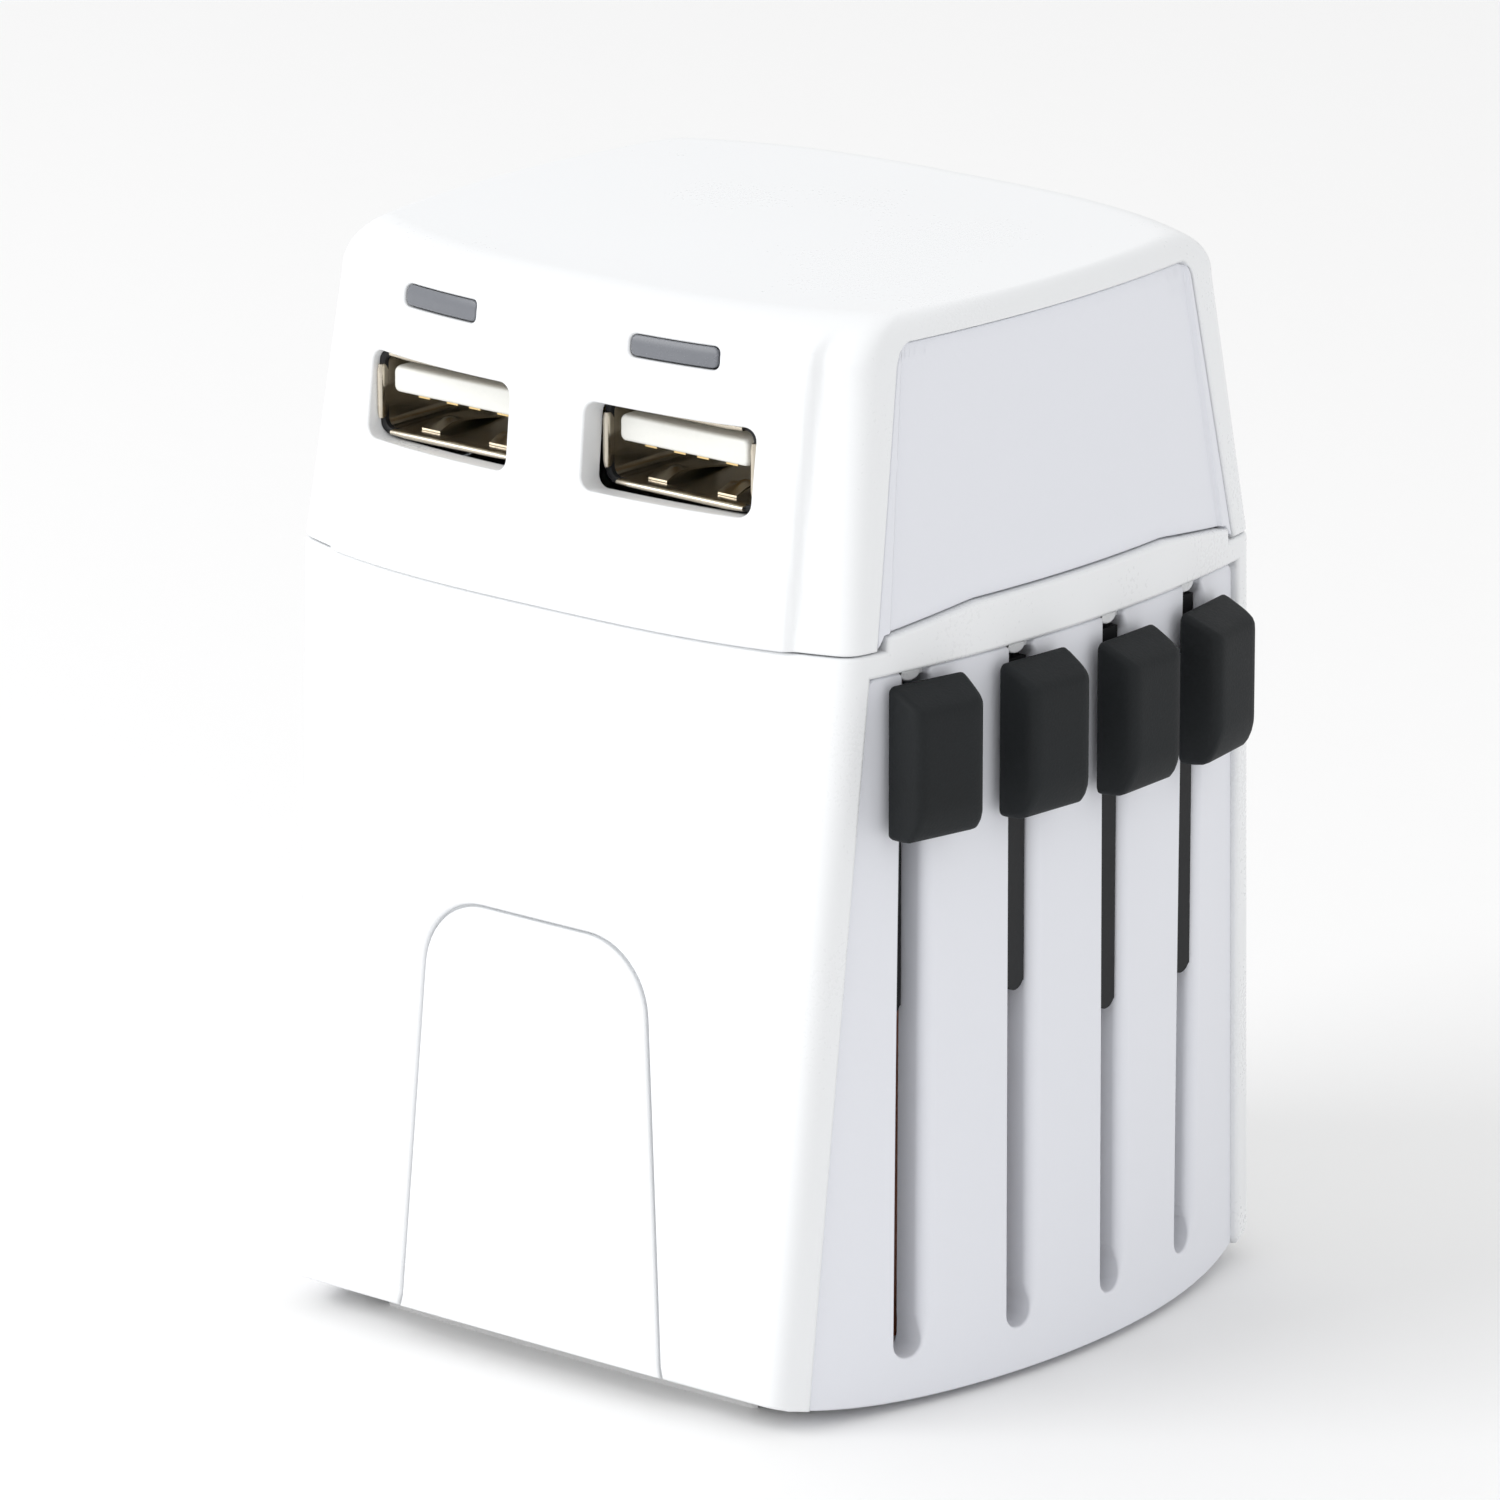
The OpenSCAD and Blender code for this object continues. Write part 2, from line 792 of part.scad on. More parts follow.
// Contact tabs under each bar, which land on the copper rails at full travel.
tab_t = 0.4;
module tabs(i, half_w, y, half_d) {
    translate([0, 0, bar_z - drops[i] - tab_t]) linear_extrude(tab_t - 2 * thin)
        difference() {
            for (s = [-1, 1])
                translate([s * half_w, y]) square([2 * half_d[0], 2 * half_d[1]], center = true);
            children();
        }
}

module uk_contact_tabs() {
    color([0.8, 0.6, 0.35]) tabs(0, uk_x - 0.2, uk_y, [3.8, 2.6]) uk_section(thin);
}

module eu_contact_tabs() {
    color([0.8, 0.6, 0.35]) tabs(1, eu_x, eu_y, [2.8, 2.6]) eu_section(thin);
}

module us_contact_tabs() {
    color([0.8, 0.6, 0.35]) tabs(2, us_x, us_y, [2, 3.4]) us_section(thin);
}

module au_contact_tabs() {
    color([0.8, 0.6, 0.35]) tabs(3, au_x, au_y, [4, 3.6]) au_section(thin);
}

// ---- USB module ----
cutout_w = 13.4;
cutout_h = 5.9;
window_w = 7;
window_h = 1.6;
window_x = usb_x + 0.2;
window_z = 71.0;
window_back = -13;
window_in = 0.9;
raised = 0.4;
raised_w = 20;
cap_panel_low_w = 18.7;
cap_panel_high_w = 15.2;
cap_panel_top = 72.9;
cap_panel_inset = 0.3;
cap_panel_t = 0.8;
side_post = [19.4, -2.5];
back_post = [16, 14.4];
module_posts = [
    [side_post[0], side_post[1]], [-side_post[0], side_post[1]],
    [back_post[0], back_post[1]], [-back_post[0], back_post[1]]];

module cap_panel_prism(grow) {
    side_prism(cap_panel_low_w + grow, cap_panel_high_w + grow, cap_z - grow, cap_panel_top + grow, 12, far);
}

module cap_right_panel() {
    color([0.93, 0.93, 0.96]) intersection() {
        difference() {
            cap_form(cap_panel_inset, cap_z);
            cap_form(cap_panel_inset + cap_panel_t, cap_z - 1);
        }
        difference() {
            cap_panel_prism(0);
            rim_prism(seam_gap / 2);
        }
    }
}

module cap_left_panel() {
    mirror([1, 0, 0]) cap_right_panel();
}

module cap_shell() {
    color([0.98, 0.98, 0.99]) difference() {
        union() {
            difference() {
                union() {
                    cap_form(0, cap_z);
                    intersection() {
                        cap_form(-raised, cap_z);
                        block(-raised_w, raised_w, -far, 0, cap_z, round_z + 1);
                    }
                }
                cap_form(cap_wall, cap_z - 1);
            }
            for (p = module_posts)
                translate([p[0], p[1], base_top]) cylinder(r = 2, h = ceiling_z - base_top, $fn = 32);
        }
        rim_prism(seam_gap / 2);
        for (p = module_posts)
            translate([p[0], p[1], base_top - 1]) cylinder(r = 0.75, h = 7, $fn = 24);
        for (s = [0, 1])
            mirror([s, 0, 0]) {
                intersection() {
                    difference() {
                        cap_form(-1, cap_z - 2);
                        cap_form(cap_panel_inset + cap_panel_t + gap, cap_z - 3);
                    }
                    cap_panel_prism(gap);
                }
                block(usb_x - cutout_w / 2, usb_x + cutout_w / 2, -far, -15,
                    usb_z - cutout_h / 2, usb_z + cutout_h / 2);
                block(window_x - window_w / 2 - gap, window_x + window_w / 2 + gap, -far, window_back + gap,
                    window_z - gap, window_z + window_h + gap);
            }
    }
}

// ---- module underside ----
base_top = 55.6;
ceiling_z = 73;
blade_low = 38;
blade_shoulder = 58;

module module_base() {
    color([0.95, 0.95, 0.96]) difference() {
        translate([0, 0, cap_z + 0.1]) linear_extrude(base_top - cap_z - 0.2)
            polygon(outline(seam_z + 2.4, cap_wall + 0.2));
        translate([0, 0, cap_z - 1]) linear_extrude(9) module_blade_section(thin);
        for (p = module_posts)
            translate([p[0], p[1], cap_z - 1]) {
                cylinder(r = 0.8, h = 6, $fn = 24);
                cylinder(r = 1.8, h = 2.3, $fn = 24);
            }
    }
}

module module_blade_section(grow) {
    for (s = [-1, 1])
        translate([s * us_x, socket_y]) square([1.5 + 2 * grow, 6.35 + 2 * grow], center = true);
}

module module_blades() {
    color([0.85, 0.75, 0.5]) {
        translate([0, 0, blade_low])
            linear_extrude(blade_shoulder - blade_low) module_blade_section(0);
        for (s = [-1, 1])
            block(s * us_x - 0.5, s * us_x + 0.5, socket_y - 1, socket_y + 1, blade_shoulder - 1, board_z);
    }
}

module module_screws() {
    color([0.7, 0.71, 0.73])
        for (p = module_posts)
            translate([p[0], p[1], cap_z + 0.15]) {
                difference() {
                    cylinder(r = 1.6, h = 1.1, $fn = 32);
                    translate([0, 0, -1]) cylinder(d = 1.6, h = 1.5, $fn = 6);
                }
                translate([0, 0, 1]) cylinder(r = 0.7, h = 6, $fn = 24);
            }
}

// ---- circuit board and its parts, hanging over the ports ----
board_z = usb_z + 3.2;
board_t = 1.4;
capacitor_z = 58;

module circuit_board() {
    color([0.1, 0.4, 0.2]) difference() {
        block(-18.5, 18.5, -14.5, 13.5, board_z, board_z + board_t);
        for (p = module_posts)
            translate([p[0], p[1], board_z - 1]) cylinder(r = 2.4, h = 4, $fn = 32);
    }
}

module transformer() {
    color([0.85, 0.75, 0.2]) union() {
        block(-5.2, 5.2, -1.5, 10.5, 59, board_z);
        block(-4, 4, -3.5, 12.5, 60.4, 65.4);
    }
}

module capacitors() {
    color([0.1, 0.15, 0.35]) for (y = [0, 7])
        translate([12, y, capacitor_z]) cylinder(r = 3.1, h = board_z - capacitor_z, $fn = 40);
}

module controller_chips() {
    color([0.1, 0.1, 0.1]) {
        block(-4, 4, -11, -7, board_z + board_t, board_z + board_t + 1.2);
        block(6, 11, 2, 7, board_z + board_t, board_z + board_t + 1.2);
    }
}

usb_front = -21.9;
usb_deep = 14;
usb_out = [13.0, 5.7];
usb_in = [12.5, 5.12];

module usb_shell() {
    color([0.6, 0.58, 0.55]) difference() {
        block(-usb_out[0] / 2, usb_out[0] / 2, usb_front, usb_front + usb_deep,
            usb_z - usb_out[1] / 2, usb_z + usb_out[1] / 2);
        block(-usb_in[0] / 2, usb_in[0] / 2, usb_front - 1, usb_front + usb_deep - 0.4,
            usb_z - usb_in[1] / 2, usb_z + usb_in[1] / 2);
    }
}

module usb_tongue() {
    color([0.96, 0.96, 0.96]) union() {
        block(-5.55, 5.55, usb_front + 0.6, usb_front + usb_deep - 2.4, usb_z, usb_z + 1.84);
        block(-6.2, 6.2, usb_front + usb_deep - 2.6, usb_front + usb_deep - 0.45,
            usb_z - 2.5, usb_z + 2.5);
    }
}

module usb_contacts() {
    color([0.85, 0.7, 0.4]) for (x = [-3.5, -1, 1, 3.5])
        block(x - 0.5, x + 0.5, usb_front + 1.4, usb_front + usb_deep - 2.7, usb_z - 0.3, usb_z - 0.01);
}

module left_usb_shell() { translate([-usb_x, 0, 0]) usb_shell(); }
module right_usb_shell() { translate([usb_x, 0, 0]) usb_shell(); }
module left_usb_tongue() { translate([-usb_x, 0, 0]) usb_tongue(); }
module right_usb_tongue() { translate([usb_x, 0, 0]) usb_tongue(); }
module left_usb_contacts() { translate([-usb_x, 0, 0]) usb_contacts(); }
module right_usb_contacts() { translate([usb_x, 0, 0]) usb_contacts(); }

module light_window() {
    color([0.5, 0.52, 0.54]) block(window_x - window_w / 2, window_x + window_w / 2,
        front_y(window_x, window_z) + window_in, window_back, window_z, window_z + window_h);
}

module right_light_window() { light_window(); }
module left_light_window() { mirror([1, 0, 0]) light_window(); }

module status_leds() {
    color([0.95, 0.95, 0.85]) for (s = [-1, 1])
        block(s * window_x - 1.6, s * window_x + 1.6, window_back - 1.3, window_back + 0.5,
            board_z + board_t, board_z + board_t + 1.4);
}

lower_shell();
slider_panel();
left_panel();
front_arch_cover();
rear_arch_cover();
base_plate();
socket_face();
socket_block();
live_socket_contact();
neutral_socket_contact();
live_rail();
neutral_rail();
guide_rods();
fuse();
fuse_clips();
body_screws();
uk_button();
uk_carriage();
uk_pins();
uk_earth_pin();
uk_contact_tabs();
eu_button();
eu_carriage();
eu_pins();
eu_contact_tabs();
us_button();
us_carriage();
us_blades();
us_contact_tabs();
au_button();
au_carriage();
au_blades();
au_contact_tabs();
cap_shell();
cap_right_panel();
cap_left_panel();
module_base();
module_blades();
circuit_board();
transformer();
capacitors();
controller_chips();
left_usb_shell();
right_usb_shell();
left_usb_tongue();
right_usb_tongue();
left_usb_contacts();
right_usb_contacts();
left_light_window();
right_light_window();
status_leds();
module_screws();
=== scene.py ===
import json
import math

import bmesh
import bpy
import numpy as np
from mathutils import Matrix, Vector


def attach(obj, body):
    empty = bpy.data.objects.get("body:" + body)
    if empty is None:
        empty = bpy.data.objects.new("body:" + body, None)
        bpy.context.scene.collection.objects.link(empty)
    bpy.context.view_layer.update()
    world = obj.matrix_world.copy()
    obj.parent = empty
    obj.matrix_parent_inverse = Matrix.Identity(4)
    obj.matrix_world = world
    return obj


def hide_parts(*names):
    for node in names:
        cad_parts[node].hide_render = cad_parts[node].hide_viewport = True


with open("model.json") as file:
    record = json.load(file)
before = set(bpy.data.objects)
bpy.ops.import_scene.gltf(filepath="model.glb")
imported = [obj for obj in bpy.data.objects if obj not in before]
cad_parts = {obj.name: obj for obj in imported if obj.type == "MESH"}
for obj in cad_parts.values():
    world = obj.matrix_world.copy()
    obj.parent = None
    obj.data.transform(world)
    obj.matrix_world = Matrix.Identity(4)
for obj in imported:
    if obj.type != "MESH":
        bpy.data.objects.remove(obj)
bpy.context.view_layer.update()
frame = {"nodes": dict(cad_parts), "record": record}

MM = 0.001

# ---------------------------------------------------------------- form of the body, in mm
SHELL_Z, SEAM_Z, CAP_Z, TOTAL_H = 1.2, 53.1, 53.24, 75.0   # levels from the foot up
TOP_ROUND, SIDE_ROUND, FRONT_ROUND, CROWN = 3.2, 1.4, 4.2, 0.3
EDGE_LOW, EDGE_RISE, EDGE_AT = 0.5, 1.6, 26.0
ROUND_Z = TOTAL_H - TOP_ROUND - CROWN
ROUND_END = ROUND_Z + TOP_ROUND * math.pi / 2
# half width, side swell, half depth, front swell
PLAN_LOW = np.array((26.7, 5.4, 26.0, 0.3))
PLAN_SEAM = np.array((26.4, 2.2, 24.5, 3.4))
PLAN_HIGH = np.array((24.7, 1.6, 22.7, 4.4))
BAND = 1.1          # how far the crease at each corner reaches into the side and the front
QUARTER = 44.0      # domain length of a quarter of the outline, close to its length in mm
FULL_TURN = 4 * QUARTER
SIDE_PART = 0.45    # share of a quarter that its side, and its front, take; the corner has the rest
WALL = 1.9

PANEL_TOP, PANEL_LOW_W, PANEL_HIGH_W, PANEL_IN = 51.3, 22.9, 19.3, 0.4
SLOT_Y0, SLOT_PITCH, SLOT_W, SLOT_BOTTOM = -15.2, 9.65, 2.2, 3.62
ARCH_LOW_W, ARCH_HIGH_W, ARCH_TOP, ARCH_R = 11.6, 9.7, 31.5, 4.0
ARCH_DEPTH, ARCH_GAP = 0.9, 0.16
RIM_W, RIM_FLAT, RIM_LOW, RIM_TOP = 18.1, 10.0, 54.0, 55.0
CAP_PANEL_LOW_W, CAP_PANEL_HIGH_W, CAP_PANEL_TOP, CAP_PANEL_IN = 18.7, 15.2, 72.9, 0.45
PANEL_GAP, ARCH_FLOOR_IN = 0.12, 0.55
BEAD_HEIGHT, BEAD_LOW_W, BEAD_TAPER, BEAD_SOFT = 0.32, 1.15, 0.75, 0.25
USB_X, USB_Z, USB_W, USB_H = 10.0, 64.6, 13.4, 5.9
WINDOW_X, WINDOW_Z, WINDOW_W, WINDOW_H = 10.2, 71.0, 7.0, 1.6
RAISED, RAISED_FROM, RAISED_TO = 0.4, 19.6, 20.6


def smooth(t):
    t = np.clip(t, 0, 1)
    return t * t * (3 - 2 * t)


def plan_lower(z):
    t = (z - SHELL_Z) / (SEAM_Z - SHELL_Z)
    return PLAN_LOW[:, None] + (PLAN_SEAM - PLAN_LOW)[:, None] * t


def plan_upper(z):
    t = (np.minimum(z, ROUND_Z) - SEAM_Z) / (ROUND_Z - SEAM_Z)
    return PLAN_SEAM[:, None] + (PLAN_HIGH - PLAN_SEAM)[:, None] * t


def quarter_xy(q, p):
    """Point of a quarter of the outline, from the side's middle at 0 to the front's middle at 1."""
    hw, ps, hd, pf = p
    cx, cy = hw - ps, hd - pf
    sx, sy = cx - BAND, cy - BAND
    y1 = np.clip(q / SIDE_PART, 0, 1) * sy
    x1 = hw - ps * (y1 / cy) ** 2
    x2 = np.clip((1 - q) / SIDE_PART, 0, 1) * sx
    y2 = hd - pf * (x2 / cx) ** 3
    ax, ay, bx, by = hw - ps * (sy / cy) ** 2, sy, sx, hd - pf * (sx / cx) ** 3
    m1, m2 = -2 * ps * sy / cy ** 2, -3 * pf * sx ** 2 / cx ** 3
    ky = (by + m2 * (ax - m1 * ay - bx)) / (1 - m1 * m2)
    kx = ax + m1 * (ky - ay)
    w = np.clip((q - SIDE_PART) / (1 - 2 * SIDE_PART), 0, 1)
    x3 = (1 - w) ** 2 * ax + 2 * w * (1 - w) * kx + w * w * bx
    y3 = (1 - w) ** 2 * ay + 2 * w * (1 - w) * ky + w * w * by
    side, front = q < SIDE_PART, q > 1 - SIDE_PART
    return np.where(side, x1, np.where(front, x2, x3)), np.where(side, y1, np.where(front, y2, y3))


class Form:
    """An outer surface over a flat domain: s runs round the body and v up it, both near to mm."""

    def __init__(self, plan, inset=0.0, proud=None):
        self.plan, self.inset, self.proud = plan, inset, proud

    def base(self, s, v):
        s, v = np.asarray(s, float), np.asarray(v, float)
        a = np.clip((v - ROUND_Z) / TOP_ROUND, 0, math.pi / 2)
        z = np.where(v <= ROUND_Z, v, ROUND_Z + TOP_ROUND * np.sin(a))
        p = self.plan(z).copy()
        p[0] -= self.inset + SIDE_ROUND * (1 - np.cos(a))
        p[2] -= self.inset + FRONT_ROUND * (1 - np.cos(a))
        u = (s / QUARTER + 2) % 4 - 2
        q = np.abs(u)
        left = q > 1
        x, y = quarter_xy(np.where(left, 2 - q, q), p)
        return np.stack([np.where(left, -x, x), np.where(u < 0, -y, y), z], -1)

    def place(self, s, v):
        s, v = np.asarray(s, float), np.asarray(v, float)
        out = self.base(s, v)
        if self.proud is not None:
            h = 0.02
            d = self.base(s + h, v) - self.base(s - h, v)
            n = np.stack([d[..., 1], -d[..., 0]], -1)
            n /= np.linalg.norm(n, axis=-1, keepdims=True)
            out[..., :2] += n * self.proud(s, v, out)[..., None]
        return out

    def frame(self, s, v):
        """Place, normal and the two directions along the surface."""
        h = 0.03
        top = np.minimum(np.asarray(v, float) + h, ROUND_END)
        ds = self.place(s + h, v) - self.place(s - h, v)
        dv = self.place(s, top) - self.place(s, top - 2 * h)
        n = np.cross(ds, dv)
        n /= np.linalg.norm(n, axis=-1, keepdims=True)
        return self.place(s, v), n, ds / (2 * h), dv / (2 * h)

    def _find(self, value, z, axis):
        q = np.linspace(0, 1, 401)
        inset = np.array([self.inset, 0, self.inset, 0])[:, None]
        x, y = quarter_xy(q, self.plan(np.full(q.size, float(z))) - inset)
        return np.interp(abs(value), y, q) if axis else np.interp(-abs(value), -x, q)

    def side(self, y, z, left=False):
        """Domain point on the right or left side at depth y and height z."""
        q = self._find(y, z, True)
        u = (2 - q if left else q) * (1 if y >= 0 else -1)
        return u * QUARTER, self.height(z)

    def front(self, x, z, rear=False):
        """Domain point on the front or rear face at x and height z."""
        q = self._find(x, z, False)
        u = (q if x >= 0 else 2 - q) * (1 if rear else -1)
        return u * QUARTER, self.height(z)

    @staticmethod
    def height(z):
        return z if z <= ROUND_Z else ROUND_Z + TOP_ROUND * math.asin((z - ROUND_Z) / TOP_ROUND)


# ---------------------------------------------------------------- flat outlines
def rounded(points, radii, steps=7):
    """A closed outline with its corners rounded to radii."""
    out, n = [], len(points)
    for i, (p, r) in enumerate(zip(points, radii)):
        a, b = np.array(points[i - 1]) - p, np.array(points[(i + 1) % n]) - p
        la, lb = np.linalg.norm(a), np.linalg.norm(b)
        if r <= 0:
            out.append(tuple(p))
            continue
        a, b = a / la, b / lb
        half = math.acos(max(-1, min(1, float(a @ b)))) / 2
        cut = min(r / math.tan(half), la * 0.49, lb * 0.49)
        r = cut * math.tan(half)
        mid = (a + b) / np.linalg.norm(a + b)
        c = np.array(p) + mid * math.hypot(cut, r)
        p0, p1 = np.array(p) + a * cut - c, np.array(p) + b * cut - c
        t0 = math.atan2(p0[1], p0[0])
        turn = (math.atan2(p1[1], p1[0]) - t0 + math.pi) % (2 * math.pi) - math.pi
        for k in range(steps + 1):
            t = t0 + turn * k / steps
            out.append((c[0] + r * math.cos(t), c[1] + r * math.sin(t)))
    return out


def dense(points, step=0.8, closed=True):
    out, n = [], len(points)
    for i in range(n if closed else n - 1):
        p, q = np.array(points[i], float), np.array(points[(i + 1) % n], float)
        k = max(1, int(np.linalg.norm(q - p) / step))
        out += [tuple(p + (q - p) * j / k) for j in range(k)]
    if not closed:
        out.append(tuple(points[-1]))
    return out


def area(points):
    p = np.array(points)
    q = np.roll(p, -1, 0)
    return float((p[:, 0] * q[:, 1] - q[:, 0] * p[:, 1]).sum()) / 2


def no_rim(p, q):
    return False


def constant(value):
    return lambda s, v, n: value


def offsets(points, is_open, lip):
    """Outward normals at the points of a closed outline, mitred, and how far its edge rounds there."""
    n = len(points)
    p = np.array(points)
    normals = []
    for i in range(n):
        d = p[(i + 1) % n] - p[i]
        if is_open(p[i], p[(i + 1) % n]) or np.linalg.norm(d) < 1e-9:
            normals.append(None)
        else:
            normals.append(np.array([d[1], -d[0]]) / np.linalg.norm(d))
    out = []
    for i in range(n):
        a, b = normals[i - 1], normals[i]
        if a is None and b is None:
            out.append((np.zeros(2), 0.0))
            continue
        a, b = (b if a is None else a), (a if b is None else b)
        m = (a + b) / max(0.35, 1 + float(a @ b))
        out.append((m, lip(p[i][0], p[i][1], (a + b) / 2)))
    return out


# ---------------------------------------------------------------- mesh pieces
def finish_mesh(name, bm, normals=True):
    mesh = bpy.data.meshes.new(name)
    stored = None
    layer = bm.verts.layers.float_vector.get("nrm")
    if layer is not None:
        stored = [v[layer].copy() for v in bm.verts]
    for f in bm.faces:
        f.smooth = True
    bm.to_mesh(mesh)
    bm.free()
    if stored is not None and normals:
        mesh.normals_split_custom_set_from_vertices([n.normalized() for n in stored])
    obj = bpy.data.objects.new(name, mesh)
    bpy.context.scene.collection.objects.link(obj)
    return obj


def sheet_piece(name, form, loops, lines_s, lines_v, lip=0.25, depth=1.9, is_open=no_rim, crown=False,
                outward=None):
    """A moulded wall: the domain inside the first loop and outside the others, with rounded edges.

    Its depth runs along the surface's normal, or straight back from outward where that is given.
    """
    lip = lip if callable(lip) else constant(lip)
    bm = bmesh.new()
    layer = bm.verts.layers.float_vector.new("nrm")
    edges = []
    for k, points in enumerate(loops):
        if (area(points) > 0) != (k == 0):
            points = points[::-1]
        rims = offsets(points, is_open, lip)
        verts = [bm.verts.new((p[0] - m[0] * r, p[1] - m[1] * r, 0)) for p, (m, r) in zip(points, rims)]
        edges += [bm.edges.new((verts[i], verts[(i + 1) % len(verts)])) for i in range(len(verts))]
    bmesh.ops.triangle_fill(bm, use_beauty=True, use_dissolve=False, edges=edges)
    for axis, lines in enumerate((lines_s, lines_v)):
        no = (1, 0, 0) if axis == 0 else (0, 1, 0)
        for at in lines:
            co = (at, 0, 0) if axis == 0 else (0, at, 0)
            bmesh.ops.bisect_plane(bm, geom=bm.verts[:] + bm.edges[:] + bm.faces[:], dist=1e-5,
                                   plane_co=co, plane_no=no)
    bmesh.ops.dissolve_degenerate(bm, dist=1e-4, edges=bm.edges[:])
    bmesh.ops.recalc_face_normals(bm, faces=bm.faces[:])
    if sum(f.normal.z * f.calc_area() for f in bm.faces) < 0:
        bmesh.ops.reverse_faces(bm, faces=bm.faces[:])
    slant = [e for e in bm.edges if len(e.link_faces) == 2
             and abs(e.verts[0].co.x - e.verts[1].co.x) > 1e-4
             and abs(e.verts[0].co.y - e.verts[1].co.y) > 1e-4]
    bmesh.ops.dissolve_edges(bm, edges=slant, use_verts=False, use_face_split=False)
    bm.verts.ensure_lookup_table()
    # each record: s, v, depth, turn of the normal, outward direction in the domain, back side
    rows = {v: (v.co.x, v.co.y, 0.0, 0.0, 0.0, 0.0, 1.0) for v in bm.verts}
    flat_faces = list(bm.faces)
    # boundary edges, directed with the wall on their left
    following = {}
    for e in bm.edges:
        if len(e.link_loops) == 1:
            loop = e.link_loops[0]
            following[loop.vert] = loop.link_loop_next.vert
    open_after = {v: is_open(np.array(v.co[:2]), np.array(w.co[:2])) for v, w in following.items()}
    before = {w: v for v, w in following.items()}
    rim = {}
    for v, w in following.items():
        u = before[v]
        sides = []
        for p, q, shut in ((u, v, open_after[u]), (v, w, open_after[v])):
            if not shut:
                d = q.co - p.co
                if d.length > 1e-9:
                    sides.append(Vector((d.y, -d.x)).normalized())
        if sides:
            a, b = sides[0], sides[-1]
            m = (a + b) / max(0.35, 1 + a.dot(b))
            rim[v] = (m, lip(v.co.x, v.co.y, np.array((a + b) / 2)))
    steps = 4
    rings = {v: [v] for v in rim}
    for v, (m, r) in rim.items():
        size = m.length
        for k in range(1, steps + 1):
            t = math.pi / 2 * k / steps
            w = bm.verts.new((0, 0, 0))
            reach = r * math.sin(t)
            rows[w] = (v.co.x + m.x * reach, v.co.y + m.y * reach, r * (1 - math.cos(t)), t,
                       m.x / size, m.y / size, 1.0)
            rings[v].append(w)
        for at, turn in ((depth - 0.15, math.pi / 2), (depth, 0.75 * math.pi)):
            w = bm.verts.new((0, 0, 0))
            pull = 0.0 if at < depth else 0.15
            rows[w] = (v.co.x + m.x * (r - pull), v.co.y + m.y * (r - pull), at, turn,
                       m.x / size, m.y / size, 1.0)
            rings[v].append(w)
    # the back of the wall
    back = {}
    for v in {v for f in flat_faces for v in f.verts}:
        w = bm.verts.new((0, 0, 0))
        rows[w] = (v.co.x, v.co.y, depth, 0.0, 0.0, 0.0, -1.0)
        back[v] = w
    for f in flat_faces:
        bm.faces.new([back[v] for v in reversed(f.verts)])
    for v, w in following.items():
        if open_after[v]:
            continue
        a, b = rings[v] + [back[v]], rings[w] + [back[w]]
        for k in range(len(a) - 1):
            bm.faces.new((a[k], a[k + 1], b[k + 1], b[k]))
    verts = list(rows)
    data = np.array([rows[v] for v in verts])
    place, n, ds, dv = form.frame(data[:, 0], data[:, 1])
    way = ds * data[:, 4:5] + dv * data[:, 5:6]
    size = np.linalg.norm(way, axis=1, keepdims=True)
    way = np.where(size > 1e-9, way / np.maximum(size, 1e-9), 0)
    normal = (n * np.cos(data[:, 3:4]) + way * np.sin(data[:, 3:4])) * data[:, 6:7]
    place = place - (n if outward is None else np.array(outward)) * data[:, 2:3]
    for v, p, m in zip(verts, place, normal):
        v.co = Vector(p)
        v[layer] = Vector(m)
    if crown:
        close_crown(bm, layer, depth)
    bmesh.ops.remove_doubles(bm, verts=bm.verts[:], dist=0.0015)
    for v in bm.verts:
        v.co *= MM
    return finish_mesh(name, bm)


def close_crown(bm, layer, depth):
    """Closes the top over the ring of vertices where the rounded edge ends, outside and inside."""
    bmesh.ops.remove_doubles(bm, verts=bm.verts[:], dist=0.0015)
    top = ROUND_Z + TOP_ROUND
    for z, sign in ((top, 1.0), (top - depth, -1.0)):
        ring = [v for v in bm.verts if v.is_boundary and abs(v.co.z - z) < 0.01]
        ring.sort(key=lambda v: math.atan2(v.co.y, v.co.x))
        outer = [v.co.copy() for v in ring]
        scales = (0.985, 0.95, 0.9, 0.82, 0.72, 0.6, 0.47, 0.33, 0.2, 0.1)
        previous = ring
        for c in scales:
            rise = CROWN * (1 - c * c) ** 2
            slope = CROWN * 4 * c * (1 - c * c)
            now = []
            for p in outer:
                v = bm.verts.new((p.x * c, p.y * c, z + rise))
                r = max(1.0, math.hypot(p.x, p.y))
                v[layer] = Vector((p.x / r * slope / r, p.y / r * slope / r, 1.0)).normalized() * sign
                now.append(v)
            for i in range(len(ring)):
                j = (i + 1) % len(ring)
                quad = (previous[i], previous[j], now[j], now[i])
                bm.faces.new(quad if sign > 0 else quad[::-1])
            previous = now
        tip = bm.verts.new((0, 0, z + CROWN))
        tip[layer] = Vector((0, 0, sign))
        for i in range(len(ring)):
            j = (i + 1) % len(ring)
            bm.faces.new((previous[i], previous[j], tip) if sign > 0 else (previous[j], previous[i], tip))


def spaced(a, b, step):
    n = max(1, round((b - a) / step))
    return [a + (b - a) * i / n for i in range(n + 1)]


def lines(*runs):
    """Sorted cut lines from (start, end, step) runs, with near doubles dropped."""
    out = []
    for at in sorted(x for a, b, step in runs for x in spaced(a, b, step)):
        if not out or at - out[-1] > 0.09:
            out.append(at)
    return out


# ---------------------------------------------------------------- outlines of the parts
def panel_w(z):
    return PANEL_LOW_W + (PANEL_HIGH_W - PANEL_LOW_W) * (z - EDGE_LOW) / (PANEL_TOP - EDGE_LOW)


